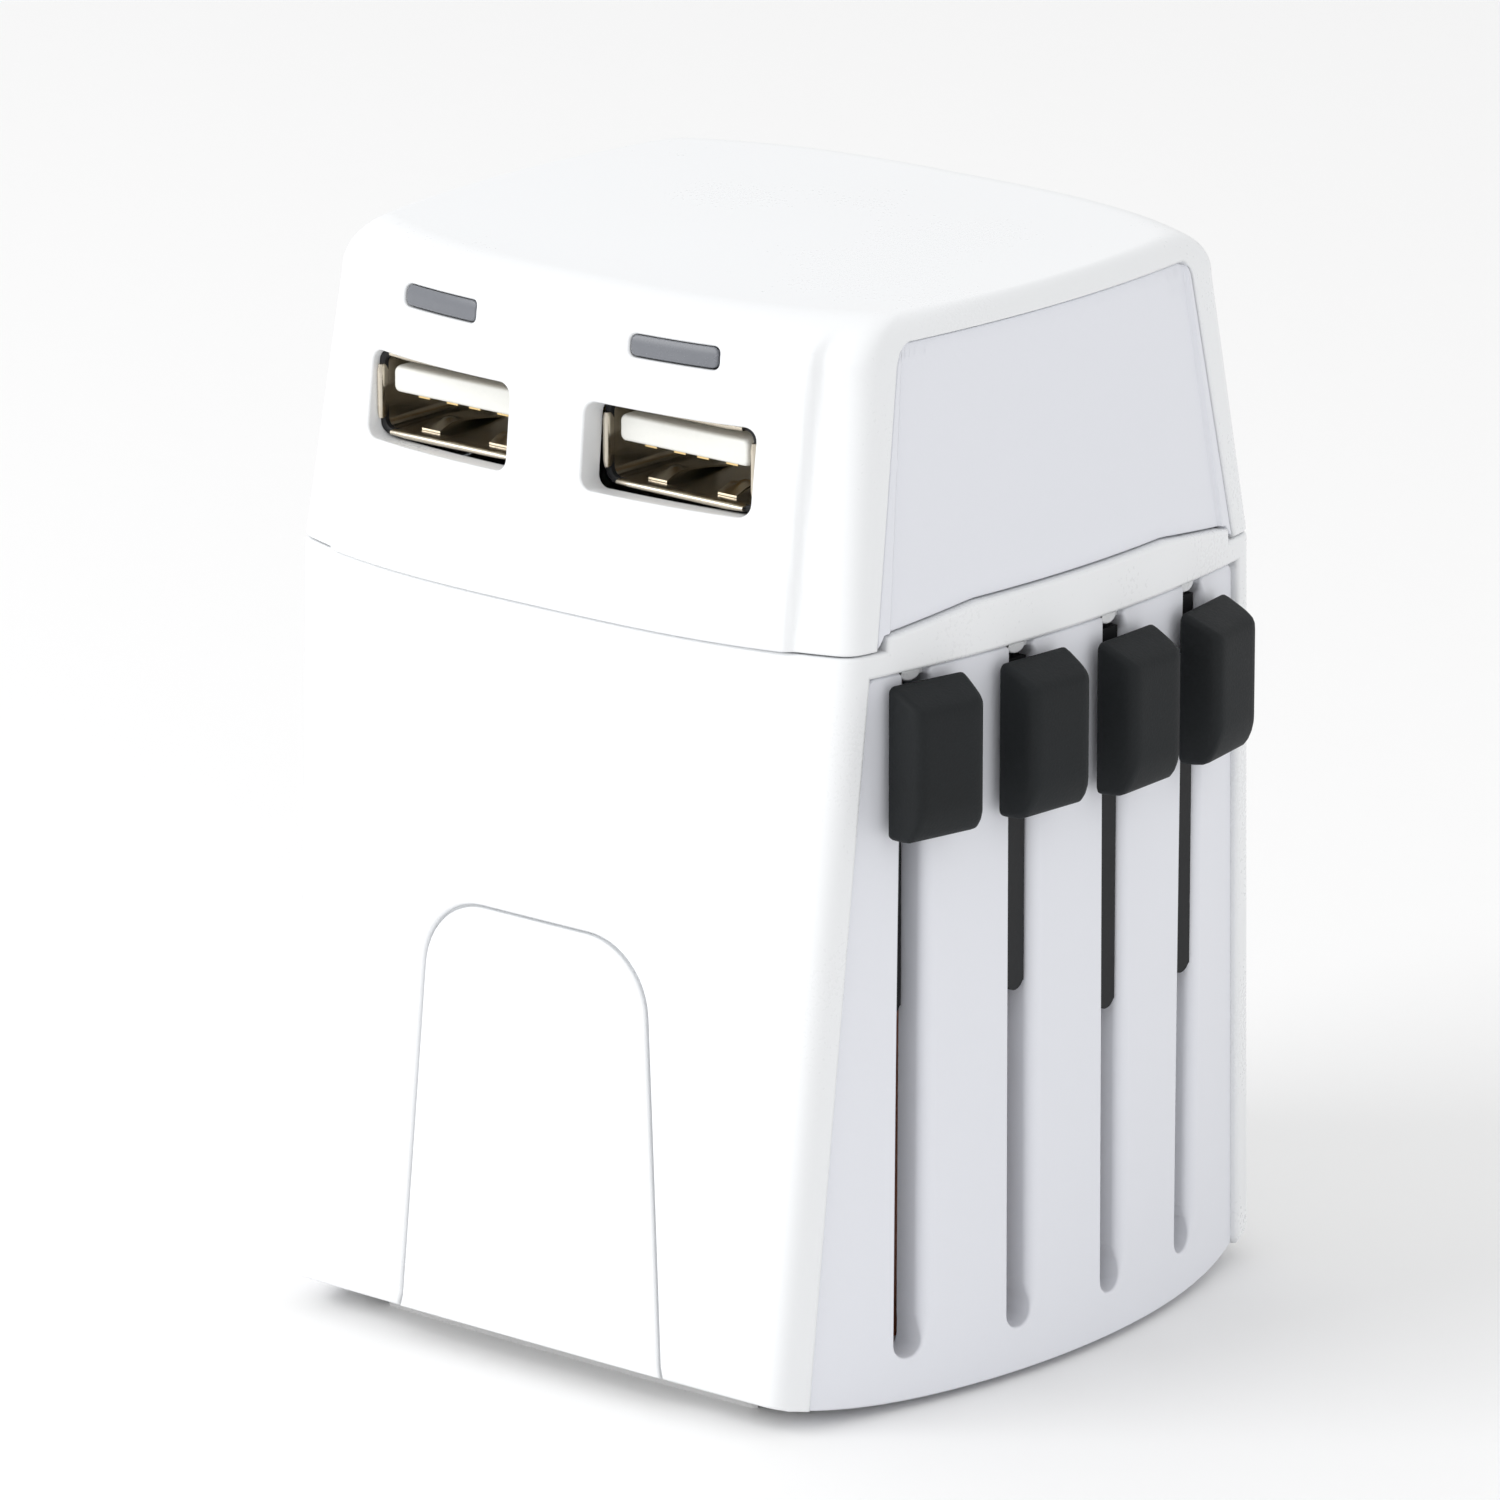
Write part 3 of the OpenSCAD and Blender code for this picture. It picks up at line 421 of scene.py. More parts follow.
def cap_panel_w(z):
    return CAP_PANEL_LOW_W + (CAP_PANEL_HIGH_W - CAP_PANEL_LOW_W) * (z - CAP_Z) / (CAP_PANEL_TOP - CAP_Z)


def arch_points(grow, low):
    w0, w1 = ARCH_LOW_W + grow, ARCH_HIGH_W + grow
    corner = ARCH_HIGH_W + grow - (ARCH_LOW_W - ARCH_HIGH_W) * ARCH_R / (ARCH_TOP - ARCH_R)
    pts = [(-w0, low), (w0, low), (corner, ARCH_TOP + grow), (-corner, ARCH_TOP + grow)]
    return dense(rounded(pts, [0, 0, ARCH_R + 1.2, ARCH_R + 1.2], 12))


def edge_z(y):
    return EDGE_LOW + EDGE_RISE * (abs(y) / EDGE_AT) ** 5


def on_edge(form, loop):
    """The outline with its lowest points laid on the housing's bottom edge."""
    out = []
    for s, v in loop:
        edge = edge_z(float(form.base([s], [v])[0, 1]))
        if v < EDGE_LOW + 1e-6:
            out.append((s, edge))
        elif v > edge + 0.3:
            out.append((s, v))
    return out


lower = Form(plan_lower)
panel_form = Form(plan_lower, PANEL_IN)


def lower_shell_loop():
    g, low = PANEL_GAP, EDGE_LOW
    # a closed walk: half the left notch, front arch, right notch, rear arch, half the left notch
    out = []
    top_w = panel_w(PANEL_TOP + g) + g

    def notch(left, sign_from, sign_to, first, last):
        pts = []
        if first:
            pts += [(sign_from * panel_w(low) + sign_from * g, low), (sign_from * top_w, PANEL_TOP + g)]
        else:
            pts += [(0, PANEL_TOP + g)]
        if last:
            pts += [(sign_to * top_w, PANEL_TOP + g), (sign_to * panel_w(low) + sign_to * g, low)]
        else:
            pts += [(0, PANEL_TOP + g)]
        pts = dense(pts, closed=False)
        return [lower.side(y, z, left) for y, z in pts]

    half = 2 * QUARTER
    left_a = notch(True, 0, -1, False, True)
    left_a[0] = (-half, PANEL_TOP + g)
    out += left_a
    arch = arch_points(ARCH_GAP, low)
    start = max(range(len(arch)), key=lambda i: (arch[i][1] < low + 0.01, arch[i][0]))
    walk = arch[start:] + arch[:start]
    walk = [p for p in walk if p[1] > low + 0.01]
    walk = [(ARCH_LOW_W + ARCH_GAP, low)] + walk + [(-ARCH_LOW_W - ARCH_GAP, low)]
    out += [lower.front(x, z) for x, z in reversed(walk)]
    out += notch(False, -1, 1, True, True)
    out += [lower.front(x, z, True) for x, z in walk]
    left_b = notch(True, 1, 0, True, False)
    left_b[-1] = (half, PANEL_TOP + g)
    out += left_b
    half_rim = [(RIM_W, SEAM_Z), (RIM_W - 0.1, RIM_LOW), (RIM_FLAT, RIM_TOP)]
    rim = half_rim + [(-y, z) for y, z in reversed(half_rim)]
    right = [lower.side(y, z) for y, z in dense(rim, closed=False)]
    left = [lower.side(y, z, True) for y, z in dense(rim, closed=False)]
    pos = [p for p in left if p[0] > 0]
    neg = [p for p in left if p[0] < 0]
    out += [(half, RIM_TOP)] + sorted(pos, key=lambda p: (-p[0], -p[1]))
    out += right
    out += sorted(neg, key=lambda p: (-p[0], p[1])) + [(-half, RIM_TOP)]
    kept = [p for i, p in enumerate(out) if math.dist(p, out[i - 1]) > 0.02]
    return on_edge(lower, dense(kept, 0.9))


def at_cut(p, q):
    """The seam of the domain, where its two ends meet, and the end of the rounded top edge."""
    half = 2 * QUARTER
    return (abs(abs(p[0]) - half) < 1e-3 and abs(p[0] - q[0]) < 1e-3) or (
        abs(p[1] - ROUND_END) < 1e-3 and abs(q[1] - ROUND_END) < 1e-3)


half_turn = 2 * QUARTER
around = lines((-half_turn, half_turn, 1.6), (16.5, 28, 0.4), (-28, -16.5, 0.4), (60, 71.5, 0.4),
               (-71.5, -60, 0.4))
shell = sheet_piece("housing_shell", lower, [lower_shell_loop()], around,
                    lines((3.1, RIM_TOP, 2.4)), lip=0.3, depth=WALL, is_open=at_cut)


def panel_loop(slots, left):
    w = panel_w(EDGE_LOW)
    pts = [(-w, EDGE_LOW), (w, EDGE_LOW), (panel_w(PANEL_TOP), PANEL_TOP)]
    radii = [0, 0, 0.8]
    for i in reversed(range(4) if slots else range(0)):
        y, w = SLOT_Y0 + i * SLOT_PITCH, SLOT_W / 2
        pts += [(y + w, PANEL_TOP), (y + w, SLOT_BOTTOM), (y - w, SLOT_BOTTOM), (y - w, PANEL_TOP)]
        radii += [0.4, w * 0.98, w * 0.98, 0.4]
    pts.append((-panel_w(PANEL_TOP), PANEL_TOP))
    radii.append(0.8)
    pts = dense(rounded(pts, radii, 8))
    out = [panel_form.side(y, z, left) for y, z in pts]
    return on_edge(panel_form, [(s if s > 0 or not left else s + FULL_TURN, v) for s, v in out])


def slot_lip(s, v, n):
    """The slots' rear edges are well rounded, all other edges only a little."""
    if abs(s) > 17.2:
        return 0.22
    fade = min((v - SLOT_BOTTOM - 0.9) / 1.6, (PANEL_TOP - 0.3 - v) / 1.2)
    return 0.22 + 0.62 * float(smooth((-n[0] - 0.2) / 0.8)) * float(smooth(fade))


slot_runs = [(SLOT_Y0 + i * SLOT_PITCH - 3, SLOT_Y0 + i * SLOT_PITCH + 3, 0.75) for i in range(4)]
slider = sheet_piece("side_panel_with_slots", panel_form, [panel_loop(True, False)],
                     lines((-24.37, 24, 1.53), *slot_runs), lines((2.6, PANEL_TOP, 1.8)), lip=slot_lip,
                     depth=WALL - PANEL_IN + 0.9, outward=(1.0, 0.0, 0.0))
left_panel = sheet_piece("side_panel_plain", panel_form, [panel_loop(False, True)],
                         lines((64, 112, 1.5)), lines((2.6, PANEL_TOP, 1.8)), lip=0.22,
                         depth=WALL - PANEL_IN)

arches = []
for name, rear in (("front_arch", False), ("rear_arch", True)):
    loop = on_edge(lower, [lower.front(x, z, rear) for x, z in arch_points(0, EDGE_LOW)])
    mid = QUARTER if rear else -QUARTER
    arches.append(sheet_piece(name, lower, [loop], lines((mid - 14, mid + 14, 1.2)),
                              lines((3.3, ARCH_TOP, 1.4)), lip=0.2, depth=ARCH_DEPTH))


# ---------------------------------------------------------------- cap
def raised_front(s, v, p):
    """The middle of the cap's front stands proud of its corners, and fades out over the top edge."""
    across = 1 - smooth((np.abs(p[..., 0]) - RAISED_FROM) / (RAISED_TO - RAISED_FROM))
    fade = 1 - smooth((v - ROUND_Z - 1.2) / 2.4)
    return np.where(p[..., 1] < 0, RAISED * across * fade, 0.0)


def bead(s, v, p):
    """A slim bead along the upright edges of the cap's side panels."""
    z = p[..., 2]
    edge = cap_panel_w(z)
    width = BEAD_LOW_W - BEAD_TAPER * np.clip((z - CAP_Z) / (CAP_PANEL_TOP - CAP_Z), 0, 1)
    return BEAD_HEIGHT * smooth((np.abs(p[..., 1]) - edge + width + 0.1) / BEAD_SOFT)


cap_form = Form(plan_upper, 0, raised_front)
cap_flat = Form(plan_upper)
cap_panel_form = Form(plan_upper, CAP_PANEL_IN, bead)


def rim_height(y):
    if abs(y) > RIM_W:
        return CAP_Z
    return RIM_LOW + (RIM_TOP - RIM_LOW) * min(1.0, (RIM_W - abs(y)) / (RIM_W - RIM_FLAT)) + 0.13


def cap_shell_loop():
    g = 0.16
    half = 2 * QUARTER
    w0, w1 = CAP_PANEL_LOW_W + g, CAP_PANEL_HIGH_W + g
    corners = [(-w0 - 0.02, CAP_Z), (-w1, CAP_PANEL_TOP + g), (w1, CAP_PANEL_TOP + g), (w0 + 0.02, CAP_Z)]
    notch = dense(rounded(corners, [0, 0.9, 0.9, 0]), closed=False)
    right = [cap_flat.side(y, z) for y, z in notch]
    left = [cap_flat.side(y, z, True) for y, z in notch]
    top = cap_flat.height(CAP_PANEL_TOP + g)
    out = [(-half, top)] + sorted([p for p in left if p[0] < -1], key=lambda p: (-round(p[1], 4), p[0]))
    out += right
    out += sorted([p for p in left if p[0] > 1], key=lambda p: (round(p[1], 4), p[0])) + [(half, top)]
    out += [(half, ROUND_END), (-half, ROUND_END)]
    kept = [p for i, p in enumerate(out) if math.dist(p, out[i - 1]) > 0.02]
    return dense(kept, 0.9)


def hole(x, z, w, h, r):
    pts = [(x - w / 2, z - h / 2), (x + w / 2, z - h / 2), (x + w / 2, z + h / 2), (x - w / 2, z + h / 2)]
    return [cap_flat.front(a, b) for a, b in dense(rounded(pts, [r] * 4, 6), 0.5)]


holes = []
for side in (-1, 1):
    holes.append(hole(side * USB_X, USB_Z, USB_W, USB_H, 0.9))
    holes.append(hole(side * WINDOW_X, WINDOW_Z + WINDOW_H / 2, WINDOW_W, WINDOW_H, 0.5))
cap_around = lines((-half_turn, half_turn, 1.5), (16, 29, 0.3), (-29, -16, 0.3), (59, 72, 0.3),
                   (-72, -59, 0.3))
cap = sheet_piece("module_cap", cap_form, [cap_shell_loop()] + holes, cap_around,
                  lines((CAP_Z, ROUND_Z, 1.5), (ROUND_Z, ROUND_END, 0.42)), lip=0.22, depth=2.1,
                  is_open=at_cut, crown=True)


def cap_panel_loop(left):
    """A cap panel's outline; its lower edge follows the housing's rim."""
    low = [(y, rim_height(y)) for y in np.linspace(-RIM_W + 0.1, RIM_W - 0.1, 45)]
    w0, w1 = CAP_PANEL_LOW_W, CAP_PANEL_HIGH_W
    pts = [(-w0, CAP_Z + 0.05)] + low + [(w0, CAP_Z + 0.05), (w1, CAP_PANEL_TOP), (-w1, CAP_PANEL_TOP)]
    radii = [0] + [0] * len(low) + [0, 0.8, 0.8]
    pts = dense(rounded(pts, radii))
    out = [cap_panel_form.side(y, z, left) for y, z in pts]
    return [(s if s > 0 or not left else s + FULL_TURN, v) for s, v in out]


cap_panels = []
for name, left in (("cap_panel_right", False), ("cap_panel_left", True)):
    mid = 88 if left else 0
    runs = ((mid - 24, mid + 24, 1.5), (mid - 21.5, mid - 15, 0.16), (mid + 15, mid + 21.5, 0.16))
    cap_panels.append(sheet_piece(name, cap_panel_form, [cap_panel_loop(left)], lines(*runs),
                                  lines((CAP_Z, cap_flat.height(CAP_PANEL_TOP), 1.2)),
                                  lip=0.12, depth=0.8))


# ---------------------------------------------------------------- floors of the grooves round the panels
def groove_floor(name, form, outline, at, low, high):
    """A thin frame just under the gap round a panel: the recess that the panel sits in."""
    loops = [outline(0.5), outline(-0.5)]
    return sheet_piece(name, form, loops, lines((at - 26, at + 26, 1.5)), lines((low, high, 2.0)),
                       lip=0.05, depth=0.4)


def side_outline(form, width, low, high, left):
    def outline(grow):
        pts = [(-width(low) - grow, low - grow), (width(low) + grow, low - grow),
               (width(high) + grow, high + grow), (-width(high) - grow, high + grow)]
        out = [form.side(y, z, left) for y, z in dense(pts)]
        return [(s if s > 0 or not left else s + FULL_TURN, v) for s, v in out]
    return outline


def arch_outline(form, rear):
    return lambda grow: [form.front(x, z, rear) for x, z in arch_points(grow, 2.9 - grow)]


housing_floors, cap_floors = [], []
panel_floor_form, cap_floor_form = Form(plan_lower, PANEL_IN + 0.55), Form(plan_upper, CAP_PANEL_IN + 0.5)
arch_floor_form = Form(plan_lower, ARCH_FLOOR_IN)
for name, left in (("right", False), ("left", True)):
    at = 2 * QUARTER if left else 0
    housing_floors.append(groove_floor(
        f"panel_groove_{name}", panel_floor_form,
        side_outline(panel_floor_form, panel_w, 2.2, PANEL_TOP, left), at, 3, PANEL_TOP))
    cap_floors.append(groove_floor(
        f"cap_groove_{name}", cap_floor_form,
        side_outline(cap_floor_form, cap_panel_w, RIM_TOP + 0.8, CAP_PANEL_TOP, left), at, 56, 74))
for name, rear in (("front", False), ("rear", True)):
    housing_floors.append(groove_floor(
        f"arch_groove_{name}", arch_floor_form, arch_outline(arch_floor_form, rear),
        QUARTER if rear else -QUARTER, 4, ARCH_TOP))


def window_loop(side):
    w, h = WINDOW_W - 0.2, WINDOW_H - 0.2
    return hole(side * WINDOW_X, WINDOW_Z + WINDOW_H / 2, w, h, 0.42)


window_form = Form(plan_upper, 0.12, raised_front)
windows = []
for name, side in (("light_window_left", -1), ("light_window_right", 1)):
    loop = window_loop(side)
    at = sum(p[0] for p in loop) / len(loop)
    windows.append(sheet_piece(name, window_form, [loop], lines((at - 6, at + 6, 0.6)),
                               lines((WINDOW_Z - 1, WINDOW_Z + 3, 0.45)), lip=0.12, depth=1.5))

# small rounded stops that fill the tops of the slots, just under the rim
stop_form = Form(plan_lower, PANEL_IN + 0.3)
stops = []
for i in range(4):
    y, r, top = SLOT_Y0 + i * SLOT_PITCH - 0.15, SLOT_W / 2 - 0.22, PANEL_TOP - 0.06
    arc = [math.pi + math.pi * k / 14 for k in range(15)]
    pts = [(y + r * math.cos(t), top - 0.1 + 0.7 * r * math.sin(t)) for t in arc]
    pts += [(y + r, top), (y - r, top)]
    loop = [stop_form.side(a, b) for a, b in pts]
    stops.append(sheet_piece(f"slot_stop_{i + 1}", stop_form, [loop], lines((y - 2, y + 2, 0.7)),
                             lines((PANEL_TOP - 2, PANEL_TOP, 0.5)), lip=0.12, depth=0.9))


# ---------------------------------------------------------------- lofted pieces
def ring_points(w, h, r, corner=6, along=4):
    """A rounded rectangle about the origin, with the same count of points whatever its size."""
    r = max(0.02, min(r, w / 2 - 0.01, h / 2 - 0.01))
    out = []
    cx, cy = w / 2 - r, h / 2 - r
    centres = ((cx, cy), (-cx, cy), (-cx, -cy), (cx, -cy))
    for k, (cx, cy) in enumerate(centres):
        arc = [(cx + r * math.cos(t), cy + r * math.sin(t))
               for t in (math.pi / 2 * (k + m / corner) for m in range(corner + 1))]
        out += arc
        a, (nx, ny) = arc[-1], centres[(k + 1) % 4]
        t = math.pi / 2 * (k + 1)
        b = (nx + r * math.cos(t), ny + r * math.sin(t))
        out += [(a[0] + (b[0] - a[0]) * m / along, a[1] + (b[1] - a[1]) * m / along)
                for m in range(1, along)]
    return out


def loft(bm, rings, painted_shade=()):
    """Skins rings of places in mm and closes the ends; the listed spans take the second material, a black
    that paints the shade inside an opening.
    """
    made = [[bm.verts.new(Vector(p) * MM) for p in ring] for ring in rings]
    n = len(made[0])
    for k, (a, b) in enumerate(zip(made, made[1:])):
        for i in range(n):
            j = (i + 1) % n
            bm.faces.new((a[i], a[j], b[j], b[i])).material_index = 1 if k in painted_shade else 0
    bm.faces.new(made[0][::-1])
    bm.faces.new(made[-1])


def mesh_piece(name, build, sharp=50):
    bm = bmesh.new()
    build(bm)
    bmesh.ops.recalc_face_normals(bm, faces=bm.faces[:])
    for e in bm.edges:
        if len(e.link_faces) == 2 and e.calc_face_angle() > math.radians(sharp):
            e.smooth = False
    return finish_mesh(name, bm)


def side_x(y, z):
    """How far out the right side face is at depth y and height z."""
    p = plan_lower(np.array([float(z)]))[:, 0]
    return float(p[0] - p[1] * (y / (p[2] - p[3])) ** 2)


# ---------------------------------------------------------------- slider buttons
PLUGS = ("uk", "eu", "us", "au")
BUTTON_TOPS = (50.8, 50.55, 50.0, 49.8)
BUTTON_H, BUTTON_W, BUTTON_SHIFT, BUTTON_OVER, TRAVEL, SLOPE_Z = 10.5, 6.4, 0.2, 0.6, 23.5, 30.0
# each ring of a pad: how far it has drawn in at the sides, top and foot, how far it stands from
# the panel, and its corner radius
BUTTON_RINGS = (
    (0.12, 0.14, 0.12, 0.0, 0.45), (0.03, 0.03, 0.03, 0.1, 0.45), (0.0, 0.0, 0.0, 0.25, 0.5),
    (0.04, 0.12, 0.0, 0.6, 0.5), (0.1, 0.36, 0.02, 1.1, 0.5), (0.17, 0.6, 0.08, 1.6, 0.5),
    (0.23, 0.8, 0.25, 1.98, 0.5), (0.3, 0.98, 0.62, 2.28, 0.5), (0.4, 1.13, 1.1, 2.52, 0.5),
    (0.55, 1.3, 1.6, 2.7, 0.5), (0.75, 1.52, 2.05, 2.82, 0.48), (1.0, 1.8, 2.42, 2.88, 0.45),
    (1.35, 2.2, 2.85, 2.9, 0.4), (1.8, 2.9, 3.5, 2.9, 0.35), (2.5, 4.0, 4.4, 2.9, 0.2),
)


def build_button(i):
    def build(bm):
        y = SLOT_Y0 + i * SLOT_PITCH
        top = BUTTON_TOPS[i]
        x = max(side_x(y, top - BUTTON_H - TRAVEL), side_x(y, PANEL_TOP)) - PANEL_IN + BUTTON_OVER
        p = plan_lower(np.array([SLOPE_Z]))[:, 0]
        yc = y + BUTTON_SHIFT
        turn = math.atan(2 * p[1] * yc / (p[2] - p[3]) ** 2)
        c, n = math.cos(turn), math.sin(turn)
        rings = []
        for side, high, foot, out, r in BUTTON_RINGS:
            w, h = BUTTON_W - 2 * side, BUTTON_H - high - foot
            mid = top - high - h / 2
            rings.append([(x + out * c - a * n, yc + out * n + a * c, mid + b)
                          for a, b in ring_points(w, h, r)])
        loft(bm, rings)
    return build


buttons = [mesh_piece(name + "_slider_button", build_button(i))
           for i, name in enumerate(PLUGS)]

# ---------------------------------------------------------------- USB ports
USB_FRONT, USB_DEEP = -21.9, 14.0


def port_ring(cx, w, h, r, y, z=USB_Z):
    return [(cx + a, y, z + b) for a, b in ring_points(w, h, r)]


def flap(bm, cx, across, edge, vertical, turned):
    """A bright strip along one side of the shell's mouth, folded outwards over its front edge."""
    # distance in from the outer face, and depth behind the front of the shell
    profile = ((0.1, 0.9), (-0.1, 0.45), (-0.12, 0.25), (-0.06, 0.1), (0.04, 0.02), (0.16, 0.0),
               (0.28, 0.05), (0.36, 0.16), (0.38, 0.4), (0.34, 0.9))
    middle = 0.14
    rings = []
    for k in range(9):
        a = -1 + k / 4
        pinch = 0.75 if k in (0, 8) else 1.0
        ring = []
        for d, behind in profile:
            off = edge - (middle + (d - middle) * pinch)
            pt = (off * turned, a * across) if vertical else (a * across, off * turned)
            ring.append((cx + pt[0], USB_FRONT + behind + (1 - pinch) * 0.3, USB_Z + pt[1]))
        rings.append(ring)
    loft(bm, rings)


def spring(bm, cx, x, up):
    """A sprung leaf in the floor or roof of the port, with a dimple near its end."""
    rings = []
    for k in range(15):
        u = k / 14
        y = USB_FRONT + 1.6 + 6.4 * (1 - u)
        lift = 0.55 * math.sin(min(1, u / 0.78) * math.pi / 2) - 0.45 * max(0.0, (u - 0.82) / 0.18)
        half = 1.05 - 0.25 * u
        base = 2.5 * up
        z = USB_Z + base - up * lift
        ring = []
        for m in range(7):
            a = -1 + m / 3
            dome = 0.22 * math.exp(-((u - 0.72) / 0.09) ** 2 - (a / 0.5) ** 2)
            ring.append((cx + x + a * half, y, z - up * dome))
        ring += [(p[0], p[1], p[2] + up * 0.14) for p in reversed(ring)]
        rings.append(ring)
    loft(bm, rings)


def build_port(cx):
    def build(bm):
        f, d = USB_FRONT, USB_FRONT + USB_DEEP
        rings = [port_ring(cx, 13.0, 5.7, 0.8, d), port_ring(cx, 13.0, 5.7, 0.8, f + 1.5),
                 port_ring(cx, 13.3, 5.86, 0.95, f + 1.1), port_ring(cx, 13.34, 5.88, 0.95, f + 0.6),
                 port_ring(cx, 13.2, 5.8, 0.9, f + 0.42), port_ring(cx, 12.7, 5.4, 0.8, f + 0.36),
                 port_ring(cx, 12.36, 5.1, 0.72, f + 0.46), port_ring(cx, 12.3, 5.06, 0.7, f + 0.8),
                 port_ring(cx, 12.44, 5.14, 0.7, f + 1.6), port_ring(cx, 12.44, 5.14, 0.7, d - 0.4)]
        # the flare and mouth rings are painted black: painted shade for the dark corners of the hole
        # between the flaps
        loft(bm, rings, painted_shade=(1, 2, 3, 4, 5, 6))
        for turned in (-1, 1):
            flap(bm, cx, 5.45, 2.85, False, turned)
            flap(bm, cx, 1.85, 6.5, True, turned)
        for x in (-3.1, 2.9):
            spring(bm, cx, x, -1)
    return build


def build_tongue(cx):
    def build(bm):
        f, z = USB_FRONT + 0.6, USB_Z + 0.92
        sizes = ((10.6, 1.4, 0.3, 0.0), (10.86, 1.6, 0.36, 0.04), (10.98, 1.72, 0.4, 0.12),
                 (11.06, 1.8, 0.42, 0.24), (11.1, 1.84, 0.42, 0.4), (11.1, 1.84, 0.42, 10.8))
        loft(bm, [port_ring(cx, w, h, r, f + back, z) for w, h, r, back in sizes])
        block = ((12.3, 4.9, 0.7, 10.6), (12.4, 5.0, 0.75, 10.7), (12.4, 5.0, 0.75, 12.95))
        loft(bm, [port_ring(cx, w, h, r, f + back) for w, h, r, back in block])
    return build


ports, tongues = [], []
for name, side in (("left", -1), ("right", 1)):
    ports.append(mesh_piece(name + "_port_shell", build_port(side * USB_X)))
    tongues.append(mesh_piece(name + "_port_tongue", build_tongue(side * USB_X)))

# ---------------------------------------------------------------- camera
FOCAL_PX, FRAME_PX, SENSOR = 11394.65, 1500.0, 36.0
CAM_DISTANCE, CAM_AZ, CAM_EL = 773.65, math.radians(40.19), math.radians(15.81)
TARGET, SHIFT_PX = Vector((0, -0.5, 43.2)), (-21.8, -74.4)
back = Vector((math.sin(CAM_AZ) * math.cos(CAM_EL), -math.cos(CAM_AZ) * math.cos(CAM_EL),
               math.sin(CAM_EL)))
camera = bpy.data.objects.new("camera", bpy.data.cameras.new("camera"))
bpy.context.scene.collection.objects.link(camera)
camera.location = (TARGET + back * CAM_DISTANCE) * MM
camera.rotation_mode = "QUATERNION"
camera.rotation_quaternion = (-back).to_track_quat("-Z", "Y")
camera.data.sensor_width = SENSOR
camera.data.lens = FOCAL_PX / FRAME_PX * SENSOR
camera.data.shift_x, camera.data.shift_y = SHIFT_PX[0] / FRAME_PX, SHIFT_PX[1] / FRAME_PX
camera.data.clip_start, camera.data.clip_end = 0.01, 20
bpy.context.scene.camera = camera


# ---------------------------------------------------------------- materials
def finish(name, colour, rough, metal=0.0, tone=0.04, grain=3500.0, bump=0.15, stretch=(1, 1, 1),
           spread=0.06, warm=(1.0, 1.0, 1.0), **sockets):
    """A moulded or metal finish: slow drift of tone, fine grain in its roughness and a fine bump."""
    m = bpy.data.materials.new(name)
    m.use_nodes = True
    tree = m.node_tree
    new, link = tree.nodes.new, tree.links.new
    shader = tree.nodes["Principled BSDF"]
    place, mapping = new("ShaderNodeTexCoord"), new("ShaderNodeMapping")
    mapping.inputs["Scale"].default_value = stretch
    link(place.outputs["Object"], mapping.inputs["Vector"])
    broad, fine = new("ShaderNodeTexNoise"), new("ShaderNodeTexNoise")
    broad.inputs["Scale"].default_value = grain / 60
    broad.inputs["Detail"].default_value = 3
    fine.inputs["Scale"].default_value = grain
    fine.inputs["Detail"].default_value = 4
    for noise in (broad, fine):
        link(mapping.outputs["Vector"], noise.inputs["Vector"])
    ramp = new("ShaderNodeValToRGB")
    low = [c * (1 - tone) * w for c, w in zip(colour, warm)]
    high = [min(1.0, c * (1 + tone)) for c in colour]
    ramp.color_ramp.elements[0].position, ramp.color_ramp.elements[1].position = 0.3, 0.7
    ramp.color_ramp.elements[0].color, ramp.color_ramp.elements[1].color = (*low, 1), (*high, 1)
    both = new("ShaderNodeMix")
    both.inputs[0].default_value = 0.35
    link(broad.outputs["Fac"], both.inputs[2])
    link(fine.outputs["Fac"], both.inputs[3])
    link(both.outputs[0], ramp.inputs["Fac"])
    link(ramp.outputs["Color"], shader.inputs["Base Color"])
    span = new("ShaderNodeMapRange")
    span.inputs["From Min"].default_value, span.inputs["From Max"].default_value = 0.3, 0.7
    span.inputs["To Min"].default_value = max(0.02, rough - spread)
    span.inputs["To Max"].default_value = min(1.0, rough + spread)
    link(both.outputs[0], span.inputs["Value"])
    link(span.outputs["Result"], shader.inputs["Roughness"])
    relief = new("ShaderNodeBump")
    relief.inputs["Strength"].default_value = bump
    relief.inputs["Distance"].default_value = 0.00004
    link(fine.outputs["Fac"], relief.inputs["Height"])
    link(relief.outputs["Normal"], shader.inputs["Normal"])
    shader.inputs["Metallic"].default_value = metal
    for key, value in sockets.items():
        shader.inputs[key.replace("_", " ")].default_value = value
    return m


def banded(m, axis, scale, colour, amount):
    """Adds fine bands of another colour over a finish, such as wound tape or printed tracks."""
    tree = m.node_tree
    new, link = tree.nodes.new, tree.links.new
    shader = tree.nodes["Principled BSDF"]
    ramp = next(n for n in tree.nodes if n.type == "VALTORGB")
    place = next(n for n in tree.nodes if n.type == "TEX_COORD")
    wave = new("ShaderNodeTexWave")
    wave.bands_direction = axis
    wave.inputs["Scale"].default_value = scale
    wave.inputs["Distortion"].default_value = 0.6
    wave.inputs["Detail"].default_value = 2
    link(place.outputs["Object"], wave.inputs["Vector"])
    cut = new("ShaderNodeMapRange")
    cut.inputs["From Min"].default_value, cut.inputs["From Max"].default_value = 0.55, 0.7
    cut.inputs["To Max"].default_value = amount
    link(wave.outputs["Fac"], cut.inputs["Value"])
    over = new("ShaderNodeMix")
    over.data_type = "RGBA"
    over.inputs[7].default_value = (*colour, 1)
    link(cut.outputs["Result"], over.inputs[0])
    link(ramp.outputs["Color"], over.inputs[6])
    link(over.outputs[2], shader.inputs["Base Color"])
    return m


